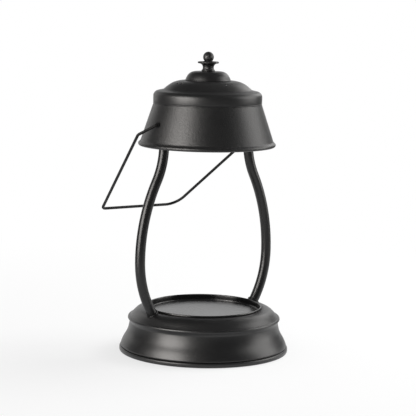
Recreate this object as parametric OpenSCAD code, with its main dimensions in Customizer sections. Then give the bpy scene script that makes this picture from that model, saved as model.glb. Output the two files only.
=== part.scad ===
// Candle warmer lamp in the form of a small lantern. A halogen bulb hangs in a
// spun shade above a dished base, and melts a jar candle that stands there.
// Millimetres. The origin is the centre of the underside, +Z is up, the two
// posts stand on the X axis and the bail hangs behind the lamp, towards +Y.

/* [Base] */
// Radius of the band at the foot of the base
base_radius = 93.4; // [90:0.2:96]
// Height of the top of the band above the table
band_height = 5.5; // [4.8:0.1:7]
// Gap between the table and the lower edge of the band
band_lift = 1; // [0.6:0.1:1.4]
// Thickness of the band's sheet
ring_sheet = 1.2; // [1:0.1:1.5]
// How far the shell's foot stands in from the band
seam_step = 1.4; // [0.6:0.1:1.8]
// Rounding of the shell's lower edge above the seam
edge_round = 1.5; // [1:0.1:2]
// Radius of the waist under the bead
waist_radius = 82.4; // [81:0.2:84]
// Height of the waist
waist_height = 32; // [30:0.2:32.6]
// Section radius of the bead above the waist
bead_size = 1.9; // [1.6:0.1:2.4]
// Height of the bead's middle above the waist
bead_rise = 4.9; // [4.5:0.1:5.2]
// Height of the shoulder where it meets the rim of the dish
shoulder_height = 48.8; // [46:0.2:52]
// Thickness of the shell's sheet
shell_sheet = 1; // [0.8:0.1:1.2]
// Width of the flanges that clamp shell and band together
flange_width = 7.2; // [6:0.2:9]

/* [Dish] */
// Radius of the dish at the middle of its rolled rim
dish_radius = 62.8; // [61.6:0.2:64.2]
// Section radius of the rolled rim
rim_size = 1; // [0.9:0.1:1.2]
// Depth from the top of the rim to the plate
dish_depth = 5.4; // [4.6:0.2:8]
// Radius of the flat plate that the candle stands on
plate_radius = 58; // [52:0.5:58]
// Depth of the groove round the plate
groove_depth = 1.6; // [1:0.1:2]
// Thickness of the dish's sheet
dish_sheet = 1; // [0.8:0.1:1.2]

/* [Underside] */
// Thickness of the bottom cover's sheet
cover_sheet = 1; // [0.8:0.1:1.2]
// Thickness of the felt pad
felt_thick = 2; // [1.6:0.1:3]
// Radius of the felt pad
felt_radius = 82; // [60:1:84]
// Height of the recess in the cover for the tie nut
tie_recess = 7; // [6.4:0.2:10]
// Thread diameter of the stud that ties the base together
tie_size = 6; // [5:0.5:8]
// Bore of the bush where a mains cord enters
cord_bore = 6.4; // [5:0.2:7]
// Wall of the cord bush round the bore
bush_wall = 1.2; // [0.9:0.1:1.6]
// Height of the cord bush above the table
cord_height = 12.6; // [12:0.2:14]
// Length of the terminal block
block_length = 18; // [14:1:24]
// Width of the terminal block
block_width = 15; // [12:0.5:20]
// Height of the terminal block
block_height = 12; // [11:0.5:16]

/* [Posts] */
// Diameter of the post tubes
post_size = 11; // [10:0.5:11.5]
// Wall of the post tubes
post_wall = 1.1; // [0.8:0.1:1.4]
// Distance of the feet of the posts from the axis
foot_radius = 70.8; // [69.5:0.1:72]
// Distance of the belly of the posts from the axis
belly_radius = 88; // [84:0.5:90]
// Distance of the tops of the posts from the axis
top_radius = 58.2; // [57.4:0.1:59]
// Bend radius from the foot to the belly
lower_bend = 107; // [95:1:115]
// Bend radius above the belly
upper_bend = 187; // [170:1:195]
// Reverse bend radius at the neck under the shade
neck_bend = 86; // [75:1:95]
// Height of the tops of the posts
post_top = 240; // [238:0.5:241]
// Thread diameter at both ends of the posts
thread_size = 8; // [7:0.5:8.4]
// Width across flats of the upper post nuts
upper_nut_flats = 13; // [12:0.5:14]
// Width across flats of the lower post nuts
lower_nut_flats = 12; // [11:0.5:13]
// Thickness of the saddle washers under the feet of the posts
saddle_thick = 3; // [2.4:0.1:4]
// Radius of the saddle washers
saddle_radius = 6.4; // [5.6:0.1:6.6]
// Thickness of the post nuts
post_nut_thick = 4.4; // [3:0.2:5]
// Radius of the collars round the feet of the posts
collar_radius = 6.1; // [5.9:0.1:6.4]
// Height of the collars along the posts
post_collar_rise = 1.2; // [0.8:0.1:3]

/* [Shade] */
// Radius of the shade over its rolled lip
lip_radius = 75.4; // [73:0.2:79]
// Height of the lowest point of the lip
lip_height = 228; // [225:0.2:229]
// Section radius of the rolled lip
lip_size = 2.2; // [1.8:0.1:2.6]
// Radius of the top of the cone, under the roof
cone_top_radius = 59.3; // [58:0.1:60]
// Height of the top of the cone
cone_top = 274.1; // [272:0.1:276]
// Height of the collar that the roof slips over
collar_rise = 11.2; // [9:0.2:12]
// Inner radius of the flange that rests on the bracket
shade_flange_radius = 44; // [42:0.5:45.5]
// Thickness of the shade's sheet
shade_sheet = 0.9; // [0.7:0.1:1.1]

/* [Roof] */
// Radius of the skirt of the roof
skirt_radius = 59.5; // [58.8:0.1:61]
// Height of the straight part of the skirt
skirt_rise = 8; // [7:0.1:9]
// Rounding between skirt and shoulder
roof_round = 5.8; // [4.4:0.1:6.4]
// Radius of the crease at the foot of the dome
crease_radius = 48.6; // [47:0.2:50]
// Height of the dome above the crease
dome_rise = 10; // [9:0.2:12]
// Thickness of the roof's sheet
roof_sheet = 0.8; // [0.6:0.1:1]
// Radius of the opening under the cap
chimney_radius = 18; // [17:0.5:21]
// Diameter of the vent holes
vent_size = 3; // [2:0.2:3.6]
// Distance of the vent holes from the axis
vent_radius = 38; // [35:0.5:41]
// Groups of vent holes round the dome
vent_groups = 4; // [3:1:6]
// Vent holes in each group
vents_in_group = 2; // [1:1:4]
// Angle from one vent hole to the next in a group
vent_step = 11; // [8:0.5:14]
// Angle by which the groups are turned from the posts
vent_turn = -1.5; // [-10:0.5:20]
// Radius of the cap at its edge
cap_radius = 24.9; // [23:0.1:26]
// Height of the cap
cap_rise = 10; // [9:0.1:12]
// Thickness of the cap's sheet
cap_sheet = 1; // [0.8:0.1:1.2]

/* [Finial] */
// Height of the finial
finial_height = 21.3; // [19:0.1:24]
// Radius of the finial's foot
finial_foot = 7.4; // [6.6:0.1:8]
// Radius of the finial's neck
finial_neck = 6; // [5.4:0.1:6.4]
// Radius of the finial's disc
finial_disc = 11.6; // [9:0.1:13]
// Radius of the finial's ball
finial_ball = 5.9; // [5.2:0.1:6.2]
// Thread diameter of the stem
stem_size = 6; // [5:0.5:7]

/* [Bracket] */
// Width of the strap across the posts
strap_width = 16; // [14:0.5:18]
// Thickness of the strap
strap_thick = 1.5; // [1.2:0.1:2]
// Distance of the strap's legs from the axis
leg_radius = 48.3; // [47.5:0.1:49]
// How far the bridge stands above the legs
bridge_rise = 11.8; // [11:0.2:12.2]
// Half length of the flat top of the bridge
bridge_half = 27; // [20:0.5:29]
// Width across flats of the stem and tie nuts
nut_flats = 10; // [9:0.5:11]
// Thickness of the stem and tie nuts
nut_thick = 4; // [3:0.2:4.4]

/* [Lampholder and bulb] */
// Radius of the ceramic lampholder
holder_radius = 13; // [12.5:0.1:14]
// Height of the lampholder
holder_height = 18; // [17:0.2:19]
// Distance of the holder screws from the axis
holder_screw_radius = 9.7; // [9.4:0.1:10]
// Thread diameter of the holder screws
screw_size = 3; // [2.5:0.1:3.2]
// Largest radius of the bulb
bulb_radius = 25.2; // [24:0.2:27]
// Length of the bulb without its pins
bulb_length = 45.6; // [44:0.2:47]
// Radius of the bulb's neck
bulb_neck = 12.6; // [12:0.1:13]
// Thickness of the reflector glass
glass_thick = 1.3; // [1:0.1:1.6]
// Thickness of the front lens
lens_thick = 1.6; // [1.2:0.1:2]
// Distance between the two contact pins
pin_spacing = 10; // [9.6:0.1:10.4]
// Radius of the pin heads
pin_head = 2.4; // [2.1:0.1:2.5]
// Radius of the pin necks
pin_neck = 1.4; // [1.2:0.1:1.6]
// Length of the pin heads
pin_head_long = 3.8; // [3:0.2:4.2]
// Angle that the bulb turns from locked to free
bulb_twist = 30; // [20:1:35]
// Radius of the halogen capsule
capsule_radius = 4.5; // [3.5:0.1:5]
// Length of the halogen capsule
capsule_length = 18; // [14:1:20]
// Radius of the sleeved lead wires
lead_radius = 2; // [1.5:0.1:2.2]

/* [Bail] */
// Diameter of the bail's wire
bail_wire = 3.2; // [2.8:0.1:3.6]
// Height of the bail's pivots
pivot_height = 253; // [252.5:0.5:256]
// Half width of the bail at its upper bends
bail_half = 84; // [81.6:0.2:88]
// How far the upper bends lie below the pivots
bail_drop = 16.2; // [14:0.1:19]
// Half width of the grip between its corners
grip_half = 53.5; // [45:0.5:60]
// Reach of the grip from the pivots
bail_reach = 165.5; // [150:0.5:170]
// How much nearer to the pivots the grip's left corner is, as photographed
grip_lift = 3; // [0:0.2:4]
// Bend radius of the upper bends
bail_bend = 4; // [3.6:0.1:6]
// Bend radius of the grip's left corner
grip_bend_left = 6; // [5:0.5:14]
// Bend radius of the grip's right corner
grip_bend_right = 18; // [8:0.5:26]
// Angle between the bail and straight down, as photographed
bail_rest = 49.5; // [20:0.5:70]
// Radius of the pivot bushes
bush_radius = 3; // [2.6:0.1:3.4]
// Radius of the push-on clips
clip_radius = 4; // [3.6:0.1:4.4]

/* [Fits] */
// Gap round threads and screws that pass through sheet
pass_gap = 0.15; // [0.1:0.05:0.25]
// Radial gap of the bail in its bushes
running_gap = 0.05; // [0.03:0.01:0.08]
// Gap between sheet parts that slip into each other
slip_gap = 0.4; // [0.2:0.05:0.6]
// Gap between pressed parts
press_gap = 0.05; // [0.02:0.01:0.08]
// Free space round the bulb's pins and above its base
bulb_gap = 0.3; // [0.25:0.05:0.5]

/* [Hidden] */
$fn = 96;

// Paint and metal colours, as photographed or as usual for the hidden pieces
black_paint = [0.10, 0.10, 0.105];
cast_black = [0.13, 0.125, 0.125];
zinc = [0.72, 0.73, 0.74];
brass = [0.78, 0.62, 0.32];
ceramic = [0.90, 0.89, 0.85];
rubber_black = [0.07, 0.07, 0.07];
felt_black = [0.09, 0.09, 0.10];
glass_clear = [0.80, 0.87, 0.90];

// ---- plane geometry ------------------------------------------------------

function rail(from, to, share) = from + (to - from) * share;
function unit(v) = v / norm(v);
function left_of(v) = [-v[1], v[0]];
function heading(v) = atan2(v[1], v[0]);
function reversed(points) = [for (i = [len(points) - 1:-1:0]) points[i]];
function mirrored(points) = [for (p = reversed(points)) [-p[0], p[1]]];

// Points of a round stretch from one angle to another
function arc(centre, radius, from, to, steps = 8) =
    [for (i = [0:steps]) centre + radius * [cos(rail(from, to, i / steps)), sin(rail(from, to, i / steps))]];

// Points of a smooth curve that leaves a for b and reaches d from c
function curve(a, b, c, d, steps = 14) =
    [for (i = [0:steps]) let (t = i / steps, s = 1 - t)
        s * s * s * a + 3 * s * s * t * b + 3 * s * t * t * c + t * t * t * d];

// Point i of a path, moved to its left by the sheet's thickness
function inner_point(path, i, sheet) = let (
    before = unit(path[max(i, 1)] - path[max(i, 1) - 1]),
    after = unit(path[min(i, len(path) - 2) + 1] - path[min(i, len(path) - 2)]),
    middle = unit(left_of(before) + left_of(after))
) path[i] + middle * sheet / (middle * left_of(before));

// Outline of a sheet whose visible side follows a path
function sheet_outline(path, sheet) =
    concat(path, [for (i = [len(path) - 1:-1:0]) inner_point(path, i, sheet)]);

module spun(path, sheet) rotate_extrude() polygon(sheet_outline(path, sheet));
module turned(outline) rotate_extrude() polygon(outline);

// ---- rods and tubes bent in a plane --------------------------------------

joint_gap = 0.1;
joint_half = 0.4;
joint_rise = 0.03;

function way(points, i) = unit(points[i + 1] - points[i]);
function turn_at(points, i) = let (
    change = heading(way(points, i)) - heading(way(points, i - 1))
) change - 360 * round(change / 360);
function trim(points, bends, i) =
    i == 0 || i == len(points) - 1 ? 0 : bends[i - 1] * tan(abs(turn_at(points, i)) / 2);

module ring_section(radius, bore) {
    difference() {
        circle(r = radius);
        if (bore > 0) circle(r = bore);
    }
}

// Rod or tube along points, with one bend radius for each inner point. The
// stretches end a little short of each other, and a hair-thick bulge joins them.
module bent_rod(points, bends, radius, bore = 0) {
    for (i = [0:len(points) - 2]) {
        ahead = way(points, i);
        from = i == 0 ? 0 : trim(points, bends, i) + joint_gap;
        to = norm(points[i + 1] - points[i])
            - (i == len(points) - 2 ? 0 : trim(points, bends, i + 1) + joint_gap);
        start = points[i] + ahead * from;
        along(start, ahead) linear_extrude(to - from) ring_section(radius, bore);
    }
    for (i = [1:len(points) - 2]) {
        angle = turn_at(points, i);
        side = sign(angle);
        bend = bends[i - 1];
        first = points[i] - way(points, i - 1) * trim(points, bends, i);
        last = points[i] + way(points, i) * trim(points, bends, i);
        centre = first + left_of(way(points, i - 1)) * bend * side;
        from = side > 0 ? heading(first - centre) : heading(last - centre);
        translate([centre[0], centre[1], 0]) rotate([0, 0, from])
            rotate_extrude(angle = abs(angle)) translate([bend, 0]) ring_section(radius, bore);
        for (joint = [[first, way(points, i - 1)], [last, way(points, i)]])
            along(joint[0], joint[1]) rotate_extrude() polygon(joint_outline(radius, bore));
    }
}

function joint_outline(radius, bore) = concat(
    [[radius - joint_rise, -joint_half], [radius + joint_rise, 0], [radius - joint_rise, joint_half]],
    bore > 0
        ? [[bore + joint_rise, joint_half], [bore - joint_rise, 0], [bore + joint_rise, -joint_half]]
        : [[0, joint_half], [0, -joint_half]]
);

module along(start, ahead) translate([start[0], start[1], 0])
    rotate([0, 0, heading(ahead)]) rotate([90, 0, 90]) children();

module both_sides() {
    children();
    mirror([1, 0, 0]) children();
}

module hex_nut(flats, thick, bore) {
    difference() {
        cylinder(h = thick, r = flats / 2 / cos(30), $fn = 6);
        translate([0, 0, -1]) cylinder(h = thick + 2, r = bore);
    }
}

// ---- base ----------------------------------------------------------------

shell_foot = base_radius - seam_step;
bead_centre = [waist_radius, waist_height + bead_rise];
bead_top = bead_centre + bead_size * [cos(80), sin(80)];
hole_radius = dish_radius - 0.05;
shoulder = curve(bead_top, [77.5, bead_top[1] + 4.6], [75, shoulder_height], [dish_radius + 1.6, shoulder_height]);
shell_path = concat(
    [[shell_foot - edge_round - flange_width + 1.8, band_height]],
    arc([shell_foot - edge_round, band_height + edge_round], edge_round, -90, 0, 5),
    curve([shell_foot, band_height + edge_round + 0.3], [shell_foot - 3.5, band_height + 13.2],
        [waist_radius + 2, waist_height - 14.7], [waist_radius, waist_height]),
    arc(bead_centre, bead_size, -70, 80, 9),
    [for (i = [1:len(shoulder) - 1]) shoulder[i]],
    [[hole_radius + 0.4, shoulder_height]]
);

shell_inside = [for (i = [len(shell_path) - 1:-1:0]) inner_point(shell_path, i, shell_sheet)];
// The room that the shell's outside closes off
module shell_space() turned(concat([[0, band_height]], shell_path, [[0, shoulder_height]]));
function shoulder_at(radius) = lookup(radius, shoulder);
foot_height = shoulder_at(foot_radius);
foot_tilt = atan((shoulder_at(foot_radius - 2) - shoulder_at(foot_radius + 2)) / 4);

band_round = 1.6;
ring_path = concat(
    [[base_radius, band_lift]],
    arc([base_radius - band_round, band_height - band_round], band_round, 0, 90, 5),
    [[base_radius - flange_width + 0.2, band_height]]
);

rim_centre = [dish_radius, shoulder_height + rim_size];
plate_height = shoulder_height + 2 * rim_size - dish_depth;
groove_floor = plate_height - groove_depth;
dish_wall = dish_radius - rim_size;
groove_outer = plate_radius + 2.6;
dish_path = concat(
    [[dish_wall, rim_centre[1]]],
    arc([groove_outer, groove_floor + 1.5], 1.5, -12, -90, 4),
    [[plate_radius + 1.4, groove_floor]],
    [[plate_radius + 0.6, rail(groove_floor, plate_height, 0.7)]],
    [[plate_radius, plate_height]],
    [[0, plate_height]]
);

cover_top = felt_thick + cover_sheet;
cover_seat = band_height - ring_sheet;
cover_radius = base_radius - ring_sheet - 2.2;
tie_floor = cover_top + tie_recess;
cover_path = [
    [cover_radius, cover_seat], [cover_radius - 2.2, cover_seat],
    [cover_radius - 4, cover_top], [15, cover_top],
    [12, tie_floor], [tie_size / 2 + pass_gap, tie_floor]
];

module at_cord_bush() translate([0, 0, cord_height]) rotate([-90, 0, 0]) children();

module base_shell() {
    color(black_paint) difference() {
        spun(shell_path, shell_sheet);
        both_sides() at_foot() translate([0, 0, -6]) cylinder(h = 9, r = thread_size / 2 + pass_gap);
        at_cord_bush() translate([0, 0, base_radius - 12]) cylinder(h = 14, r = bush_body + press_gap);
    }
}

module base_ring() {
    color(black_paint) spun(ring_path, ring_sheet);
}

module candle_dish() {
    color(black_paint) rotate_extrude() {
        polygon(sheet_outline(dish_path, dish_sheet));
        translate(rim_centre) circle(r = rim_size);
    }
}

module tie_stud() {
    stud_end = tie_floor - cover_sheet - nut_thick - 1;
    color(zinc) translate([0, 0, stud_end])
        cylinder(h = plate_height - dish_sheet - stud_end, r = tie_size / 2);
}

module tie_nut() {
    color(zinc) translate([0, 0, tie_floor - cover_sheet - nut_thick])
        hex_nut(nut_flats + tie_size - 6, nut_thick, tie_size / 2 + press_gap);
}

module bottom_cover() {
    color(zinc) spun(cover_path, cover_sheet);
}

module felt_pad() {
    color(felt_black) cylinder(h = felt_thick, r = felt_radius);
}

bush_body = cord_bore / 2 + bush_wall;
bush_inner_end = shell_foot - 9.2;
bush_outer_end = shell_foot + 0.4;

module cord_bush() {
    color(rubber_black) difference() {
        union() {
            at_cord_bush() translate([0, 0, bush_inner_end])
                cylinder(h = bush_outer_end - bush_inner_end - 1, r = bush_body);
            at_cord_bush() translate([0, 0, bush_inner_end]) cylinder(h = 1.6, r = bush_body + 0.9);
            difference() {
                at_cord_bush() translate([0, 0, bush_inner_end + 2])
                    cylinder(h = bush_outer_end - bush_inner_end - 2, r = bush_body + 1);
                shell_space();
            }
        }
        at_cord_bush() translate([0, 0, bush_inner_end - 1])
            cylinder(h = bush_outer_end - bush_inner_end + 2, r = cord_bore / 2);
    }
}

block_outer = -48;
block_wire_height = cover_top + block_height / 2;
module terminal_block() {
    color(ceramic) difference() {
        translate([block_outer, -block_width / 2, cover_top]) cube([block_length, block_width, block_height]);
        for (side = [-1, 1])
            translate([block_outer + block_length / 2, side * block_width / 4, cover_top + block_height / 2 + 1])
                cylinder(h = block_height, r = screw_size / 2 + 0.6);
        translate([block_outer - 1, 0, block_wire_height]) rotate([0, 90, 0])
            cylinder(h = 5, r = lead_radius + press_gap);
    }
}

module terminal_screws() {
    color(brass) for (side = [-1, 1])
        translate([block_outer + block_length / 2, side * block_width / 4, cover_top + block_height / 2 + 1])
            cylinder(h = block_height / 2 - 2, r = screw_size / 2 + 0.4);
}

// ---- posts ---------------------------------------------------------------

foot_angle = acos(1 - (belly_radius - foot_radius) / lower_bend);
neck_straight = 2;
neck_reach = belly_radius - top_radius;
both_bends = upper_bend + neck_bend;
neck_angle = 2 * atan((sqrt(neck_straight * neck_straight + neck_reach * (2 * both_bends - neck_reach))
    - neck_straight) / (2 * both_bends - neck_reach));
belly_straight = 1;
belly_height = foot_height + lower_bend * sin(foot_angle) + belly_straight;
neck_height = belly_height + both_bends * sin(neck_angle) + neck_straight * cos(neck_angle);
foot_point = [foot_radius, foot_height];
foot_way = [sin(foot_angle), cos(foot_angle)];
post_points = [
    [top_radius, post_top],
    [top_radius, neck_height - neck_bend * tan(neck_angle / 2)],
    [belly_radius, belly_height + upper_bend * tan(neck_angle / 2)],
    [belly_radius, belly_height - belly_straight - lower_bend * tan(foot_angle / 2)],
    foot_point - 3 * foot_way
];
post_bends = [neck_bend, upper_bend, lower_bend];
post_radius = post_size / 2;
post_bore = post_radius - post_wall;
thread_bore = thread_size / 2 - 1.2;
foot_thread = shell_sheet + saddle_thick + post_nut_thick + 1.6;
stud_grip = 1.8;
// Longer than whatever it cuts away
cut_room = 40;
top_thread = strap_thick + post_nut_thick + 1.6;

// Frame at the foot of the right post, with Z along the shoulder's normal
module at_foot() translate([foot_radius, 0, foot_height]) rotate([0, foot_tilt, 0]) children();

module post() {
    difference() {
        rotate([90, 0, 0]) bent_rod(post_points, post_bends, post_radius, post_bore);
        shell_space();
    }
    at_foot() translate([0, 0, -foot_thread]) difference() {
        cylinder(h = foot_thread + stud_grip, r = thread_size / 2);
        translate([0, 0, -1]) cylinder(h = foot_thread + 5, r = thread_bore);
    }
    translate([top_radius, 0, post_top - 4]) difference() {
        cylinder(h = top_thread + 4, r = thread_size / 2);
        translate([0, 0, -1]) cylinder(h = top_thread + 6, r = thread_bore);
    }
}

module post_left() {
    color(black_paint) mirror([1, 0, 0]) post();
}

module post_right() {
    color(black_paint) post();
}

module post_collars() {
    color(black_paint) both_sides() difference() {
        translate([foot_radius, 0, foot_height]) rotate([0, foot_angle, 0])
            translate([0, 0, -1.5 * collar_radius]) cylinder(h = 1.5 * collar_radius + post_collar_rise, r = collar_radius);
        shell_space();
        rotate_extrude() translate(rim_centre) circle(r = rim_size + press_gap);
        rotate([90, 0, 0]) bent_rod([post_points[2], post_points[3], foot_point - cut_room * foot_way],
            [lower_bend], post_radius + press_gap);
    }
}

module post_washers() {
    color(zinc) both_sides() difference() {
        intersection() {
            at_foot() translate([0, 0, -shell_sheet - saddle_thick]) cylinder(h = cut_room / 2, r = saddle_radius);
            turned(concat([[0, band_height]], reversed(shell_inside), [[0, shoulder_height - shell_sheet]]));
        }
        at_foot() translate([0, 0, -cut_room / 2]) cylinder(h = cut_room, r = thread_size / 2 + pass_gap);
    }
}

module upper_post_nuts() {
    color(zinc) both_sides() translate([top_radius, 0, post_top + strap_thick])
        hex_nut(upper_nut_flats, post_nut_thick, thread_size / 2 + press_gap);
}

module lower_post_nuts() {
    color(zinc) both_sides() at_foot() translate([0, 0, -shell_sheet - saddle_thick - post_nut_thick])
        rotate([0, 0, 30]) hex_nut(lower_nut_flats, post_nut_thick, thread_size / 2 + press_gap);
}

// ---- shade, roof and finial ----------------------------------------------

lip_centre = [lip_radius - lip_size, lip_height + lip_size];
cone_foot = [lip_centre[0] + 0.1, lip_centre[1] + lip_size * 0.9];
collar_inset = skirt_radius - roof_sheet - slip_gap;
collar_round = 4;
collar_top = cone_top + collar_rise;
shade_path = concat(
    [cone_foot, [cone_top_radius, cone_top], [collar_inset, cone_top + 0.15]],
    arc([collar_inset - collar_round, collar_top - collar_round], collar_round, 0, 90, 7),
    [[shade_flange_radius, collar_top]]
);
// Outer radius of the cone at a height
function cone_at(height) = rail(cone_foot[0], cone_top_radius, (height - cone_foot[1]) / (cone_top - cone_foot[1]));

bead_radius = 0.6;
skirt_foot = cone_top + 0.15;
round_centre = [skirt_radius - roof_round, skirt_foot + skirt_rise];
crease_height = round_centre[1] + roof_round + 1.3;
dome_top = crease_height + dome_rise;
roof_path = concat(
    [[skirt_radius, skirt_foot + bead_radius]],
    arc(round_centre, roof_round, 0, 78, 8),
    curve([crease_radius, crease_height], [crease_radius - 5, crease_height + dome_rise * 0.42],
        [crease_radius - 10, dome_top - 0.2], [cap_radius + 1.6, dome_top]),
    [[chimney_radius, dome_top]]
);

cap_foot = dome_top + 0.05;
cap_top = cap_foot + cap_rise;
cap_path = concat(
    curve([cap_radius + 0.3, cap_foot], [cap_radius - 1.6, cap_foot + cap_rise * 0.4],
        [cap_radius - 3.4, cap_top + 0.2], [cap_radius / 2, cap_top], 14),
    [[stem_size / 2 + pass_gap, cap_top]]
);

disc_height = cap_top + finial_height - 2 * finial_ball + 0.4;
finial_top = cap_top + finial_height;
disc_round = 1;
finial_path = concat(
    [[stem_size / 2 + press_gap, cap_top]],
    [[finial_foot - 0.6, cap_top], [finial_foot, cap_top + 0.5], [finial_foot - 0.1, cap_top + 1.2]],
    curve([finial_neck + 0.3, cap_top + 2.4], [finial_neck - 0.4, cap_top + 5],
        [finial_neck + 0.2, disc_height - 2.2], [finial_disc - 1.9, disc_height - 1.3], 9),
    arc([finial_disc - disc_round, disc_height - 0.3], disc_round, -70, 100, 6),
    [[finial_ball * 0.76, disc_height + 1.3]],
    arc([0, finial_top - finial_ball], finial_ball, -42, 90, 12),
    [[0, finial_top - finial_ball - 1], [stem_size / 2 + press_gap, finial_top - finial_ball - 2.4]]
);

module shade() {
    color(black_paint) difference() {
        rotate_extrude() {
            polygon(sheet_outline(shade_path, shade_sheet));
            translate(lip_centre) circle(r = lip_size);
        }
        both_sides() translate([pivot_radius - 6, 0, pivot_height]) rotate([0, 90, 0])
            cylinder(h = 12, r = bush_radius + press_gap);
    }
}

module roof() {
    color(black_paint) difference() {
        rotate_extrude() {
            polygon(sheet_outline(roof_path, roof_sheet));
            translate([skirt_radius - bead_radius + 0.15, skirt_foot + bead_radius]) circle(r = bead_radius);
        }
        for (group = [0:vent_groups - 1], hole = [0:vents_in_group - 1])
            rotate([0, 0, group * 360 / vent_groups + vent_turn + (hole - (vents_in_group - 1) / 2) * vent_step])
                translate([vent_radius, 0, crease_height]) cylinder(h = dome_rise + 2, r = vent_size / 2);
    }
}

module cap() {
    color(black_paint) difference() {
        spun(cap_path, cap_sheet);
        translate([0, 0, cap_foot - cap_sheet]) cylinder(h = cap_sheet, r = cap_radius + 2);
    }
}

module finial() {
    color(cast_black) turned(finial_path);
}

// ---- bracket and stem ----------------------------------------------------

leg_top = collar_top - shade_sheet;
bridge_top = leg_top + bridge_rise;
bridge_under = bridge_top - strap_thick;
strap_half = [
    [top_radius + 5.3, post_top + strap_thick], [leg_radius, post_top + strap_thick],
    [leg_radius, leg_top], [leg_radius - 8.3, leg_top], [bridge_half, bridge_top]
];
stem_foot = bridge_under - nut_thick - 1.2;
stem_end = disc_height - 2;

module bracket() {
    color(zinc) difference() {
        translate([0, strap_width / 2, 0]) rotate([90, 0, 0])
            linear_extrude(strap_width) polygon(sheet_outline(concat(strap_half, mirrored(strap_half)), strap_thick));
        both_sides() translate([top_radius, 0, post_top - 1])
            cylinder(h = strap_thick + 2, r = thread_size / 2 + pass_gap);
        both_sides() translate([leg_radius - strap_thick - 1, 0, leg_hole_height]) rotate([0, 90, 0])
            cylinder(h = strap_thick + 2, r = lead_radius + 2);
        both_sides() translate([holder_screw_radius, 0, bridge_under - 1])
            cylinder(h = strap_thick + 2, r = screw_size / 2 + pass_gap);
        translate([0, 0, bridge_under - 1]) cylinder(h = strap_thick + 2, r = stem_size / 2 + pass_gap);
    }
}

module stem() {
    color(zinc) translate([0, 0, stem_foot]) cylinder(h = stem_end - stem_foot, r = stem_size / 2);
}

module stem_nuts() {
    color(zinc) for (height = [bridge_under - nut_thick, bridge_top])
        translate([0, 0, height]) hex_nut(nut_flats + stem_size - 6, nut_thick, stem_size / 2 + press_gap);
}

// ---- lampholder and bulb -------------------------------------------------

holder_top = bridge_under;
holder_foot = holder_top - holder_height;
pin_radius = pin_spacing / 2;
pin_throat = 2.6;
pin_room_foot = holder_foot + pin_throat;
pin_room_top = pin_room_foot + pin_head_long + 2 * bulb_gap + 0.4;
nut_room = nut_flats / 2 / cos(30) + 1 + (stem_size - 6) / 2;
nut_room_foot = stem_foot - 0.8;

// Solid sector between two radii and two angles
module sector(inner, outer, from, to, height) {
    rotate([0, 0, from]) rotate_extrude(angle = to - from) translate([inner, 0]) square([outer - inner, height]);
}

module pin_rooms() {
    head_room = pin_head + bulb_gap;
    neck_room = pin_neck + bulb_gap;
    head_spread = asin(head_room / pin_radius) + 2;
    neck_spread = asin(neck_room / pin_radius) + 2;
    for (side = [0, 180]) rotate([0, 0, side]) {
        translate([0, 0, pin_room_foot])
            sector(pin_radius - head_room, pin_radius + head_room, -bulb_twist - head_spread, head_spread,
                pin_room_top - pin_room_foot);
        translate([0, 0, holder_foot - 1])
            sector(pin_radius - neck_room, pin_radius + neck_room, -bulb_twist - neck_spread, neck_spread,
                pin_throat + 2);
        rotate([0, 0, -bulb_twist]) translate([pin_radius, 0, holder_foot - 1])
            cylinder(h = pin_throat + 2, r = head_room);
    }
}

module lampholder() {
    color(ceramic) difference() {
        translate([0, 0, holder_foot]) cylinder(h = holder_height, r = holder_radius);
        pin_rooms();
        translate([0, 0, nut_room_foot]) cylinder(h = holder_height, r = nut_room);
        both_sides() translate([holder_screw_radius, 0, holder_top - 8])
            cylinder(h = 9, r = screw_size / 2 + press_gap);
        translate([-holder_radius - 1, 0, lead_end_height]) rotate([0, 90, 0])
            cylinder(h = holder_radius + 1 - pin_radius, r = lead_radius + press_gap);
    }
}

module holder_contacts() {
    color(brass) for (side = [0, 180]) rotate([0, 0, side]) translate([0, 0, pin_room_top - 0.4])
        sector(pin_radius - 1.6, pin_radius + 1.6, -22, 22, 0.4);
}

module holder_screws() {
    color(zinc) both_sides() translate([holder_screw_radius, 0, 0]) {
        translate([0, 0, holder_top - 7]) cylinder(h = 7 + strap_thick + 0.6, r = screw_size / 2);
        translate([0, 0, bridge_top]) cylinder(h = 1.6, r = screw_size * 0.85);
    }
}

bulb_top = holder_foot - bulb_gap;
bulb_face = bulb_top - bulb_length;
neck_top = bulb_top - 8;
neck_foot = neck_top - 4;
bowl_foot = bulb_face + 5;
bulb_path = concat(
    [[bulb_radius, bulb_face]],
    [[bulb_radius, bowl_foot - 0.6], [bulb_radius - 0.6, bowl_foot]],
    curve([bulb_radius - 1.2, bowl_foot + 0.8], [bulb_radius - 2.4, bowl_foot + 11],
        [bulb_neck + 4, neck_foot - 6], [bulb_neck, neck_foot], 10),
    [[bulb_neck, neck_top]]
);

module bulb_reflector() {
    color(zinc) spun(bulb_path, glass_thick);
}

module bulb_lens() {
    color(glass_clear) translate([0, 0, bulb_face + 0.5])
        cylinder(h = lens_thick, r = bulb_radius - glass_thick - press_gap);
}

plug_foot = neck_foot + 0.6;
module bulb_base() {
    color(ceramic) {
        translate([0, 0, neck_top]) cylinder(h = bulb_top - neck_top, r = bulb_neck + 0.2);
        translate([0, 0, plug_foot])
            cylinder(h = neck_top - plug_foot + 1, r = bulb_neck - glass_thick - press_gap);
    }
}

module bulb_capsule() {
    color(glass_clear) {
        translate([0, 0, plug_foot - capsule_length + capsule_radius])
            cylinder(h = capsule_length - capsule_radius, r = capsule_radius);
        translate([0, 0, plug_foot - capsule_length + capsule_radius]) sphere(r = capsule_radius);
    }
}

module bulb_pins() {
    color(zinc) for (side = [-1, 1]) translate([side * pin_radius, 0, 0]) {
        translate([0, 0, bulb_top]) cylinder(h = pin_throat + 2 * bulb_gap + 0.4, r = pin_neck);
        translate([0, 0, pin_room_foot + bulb_gap]) cylinder(h = pin_head_long, r = pin_head);
    }
}

// ---- lead wires ----------------------------------------------------------

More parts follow.
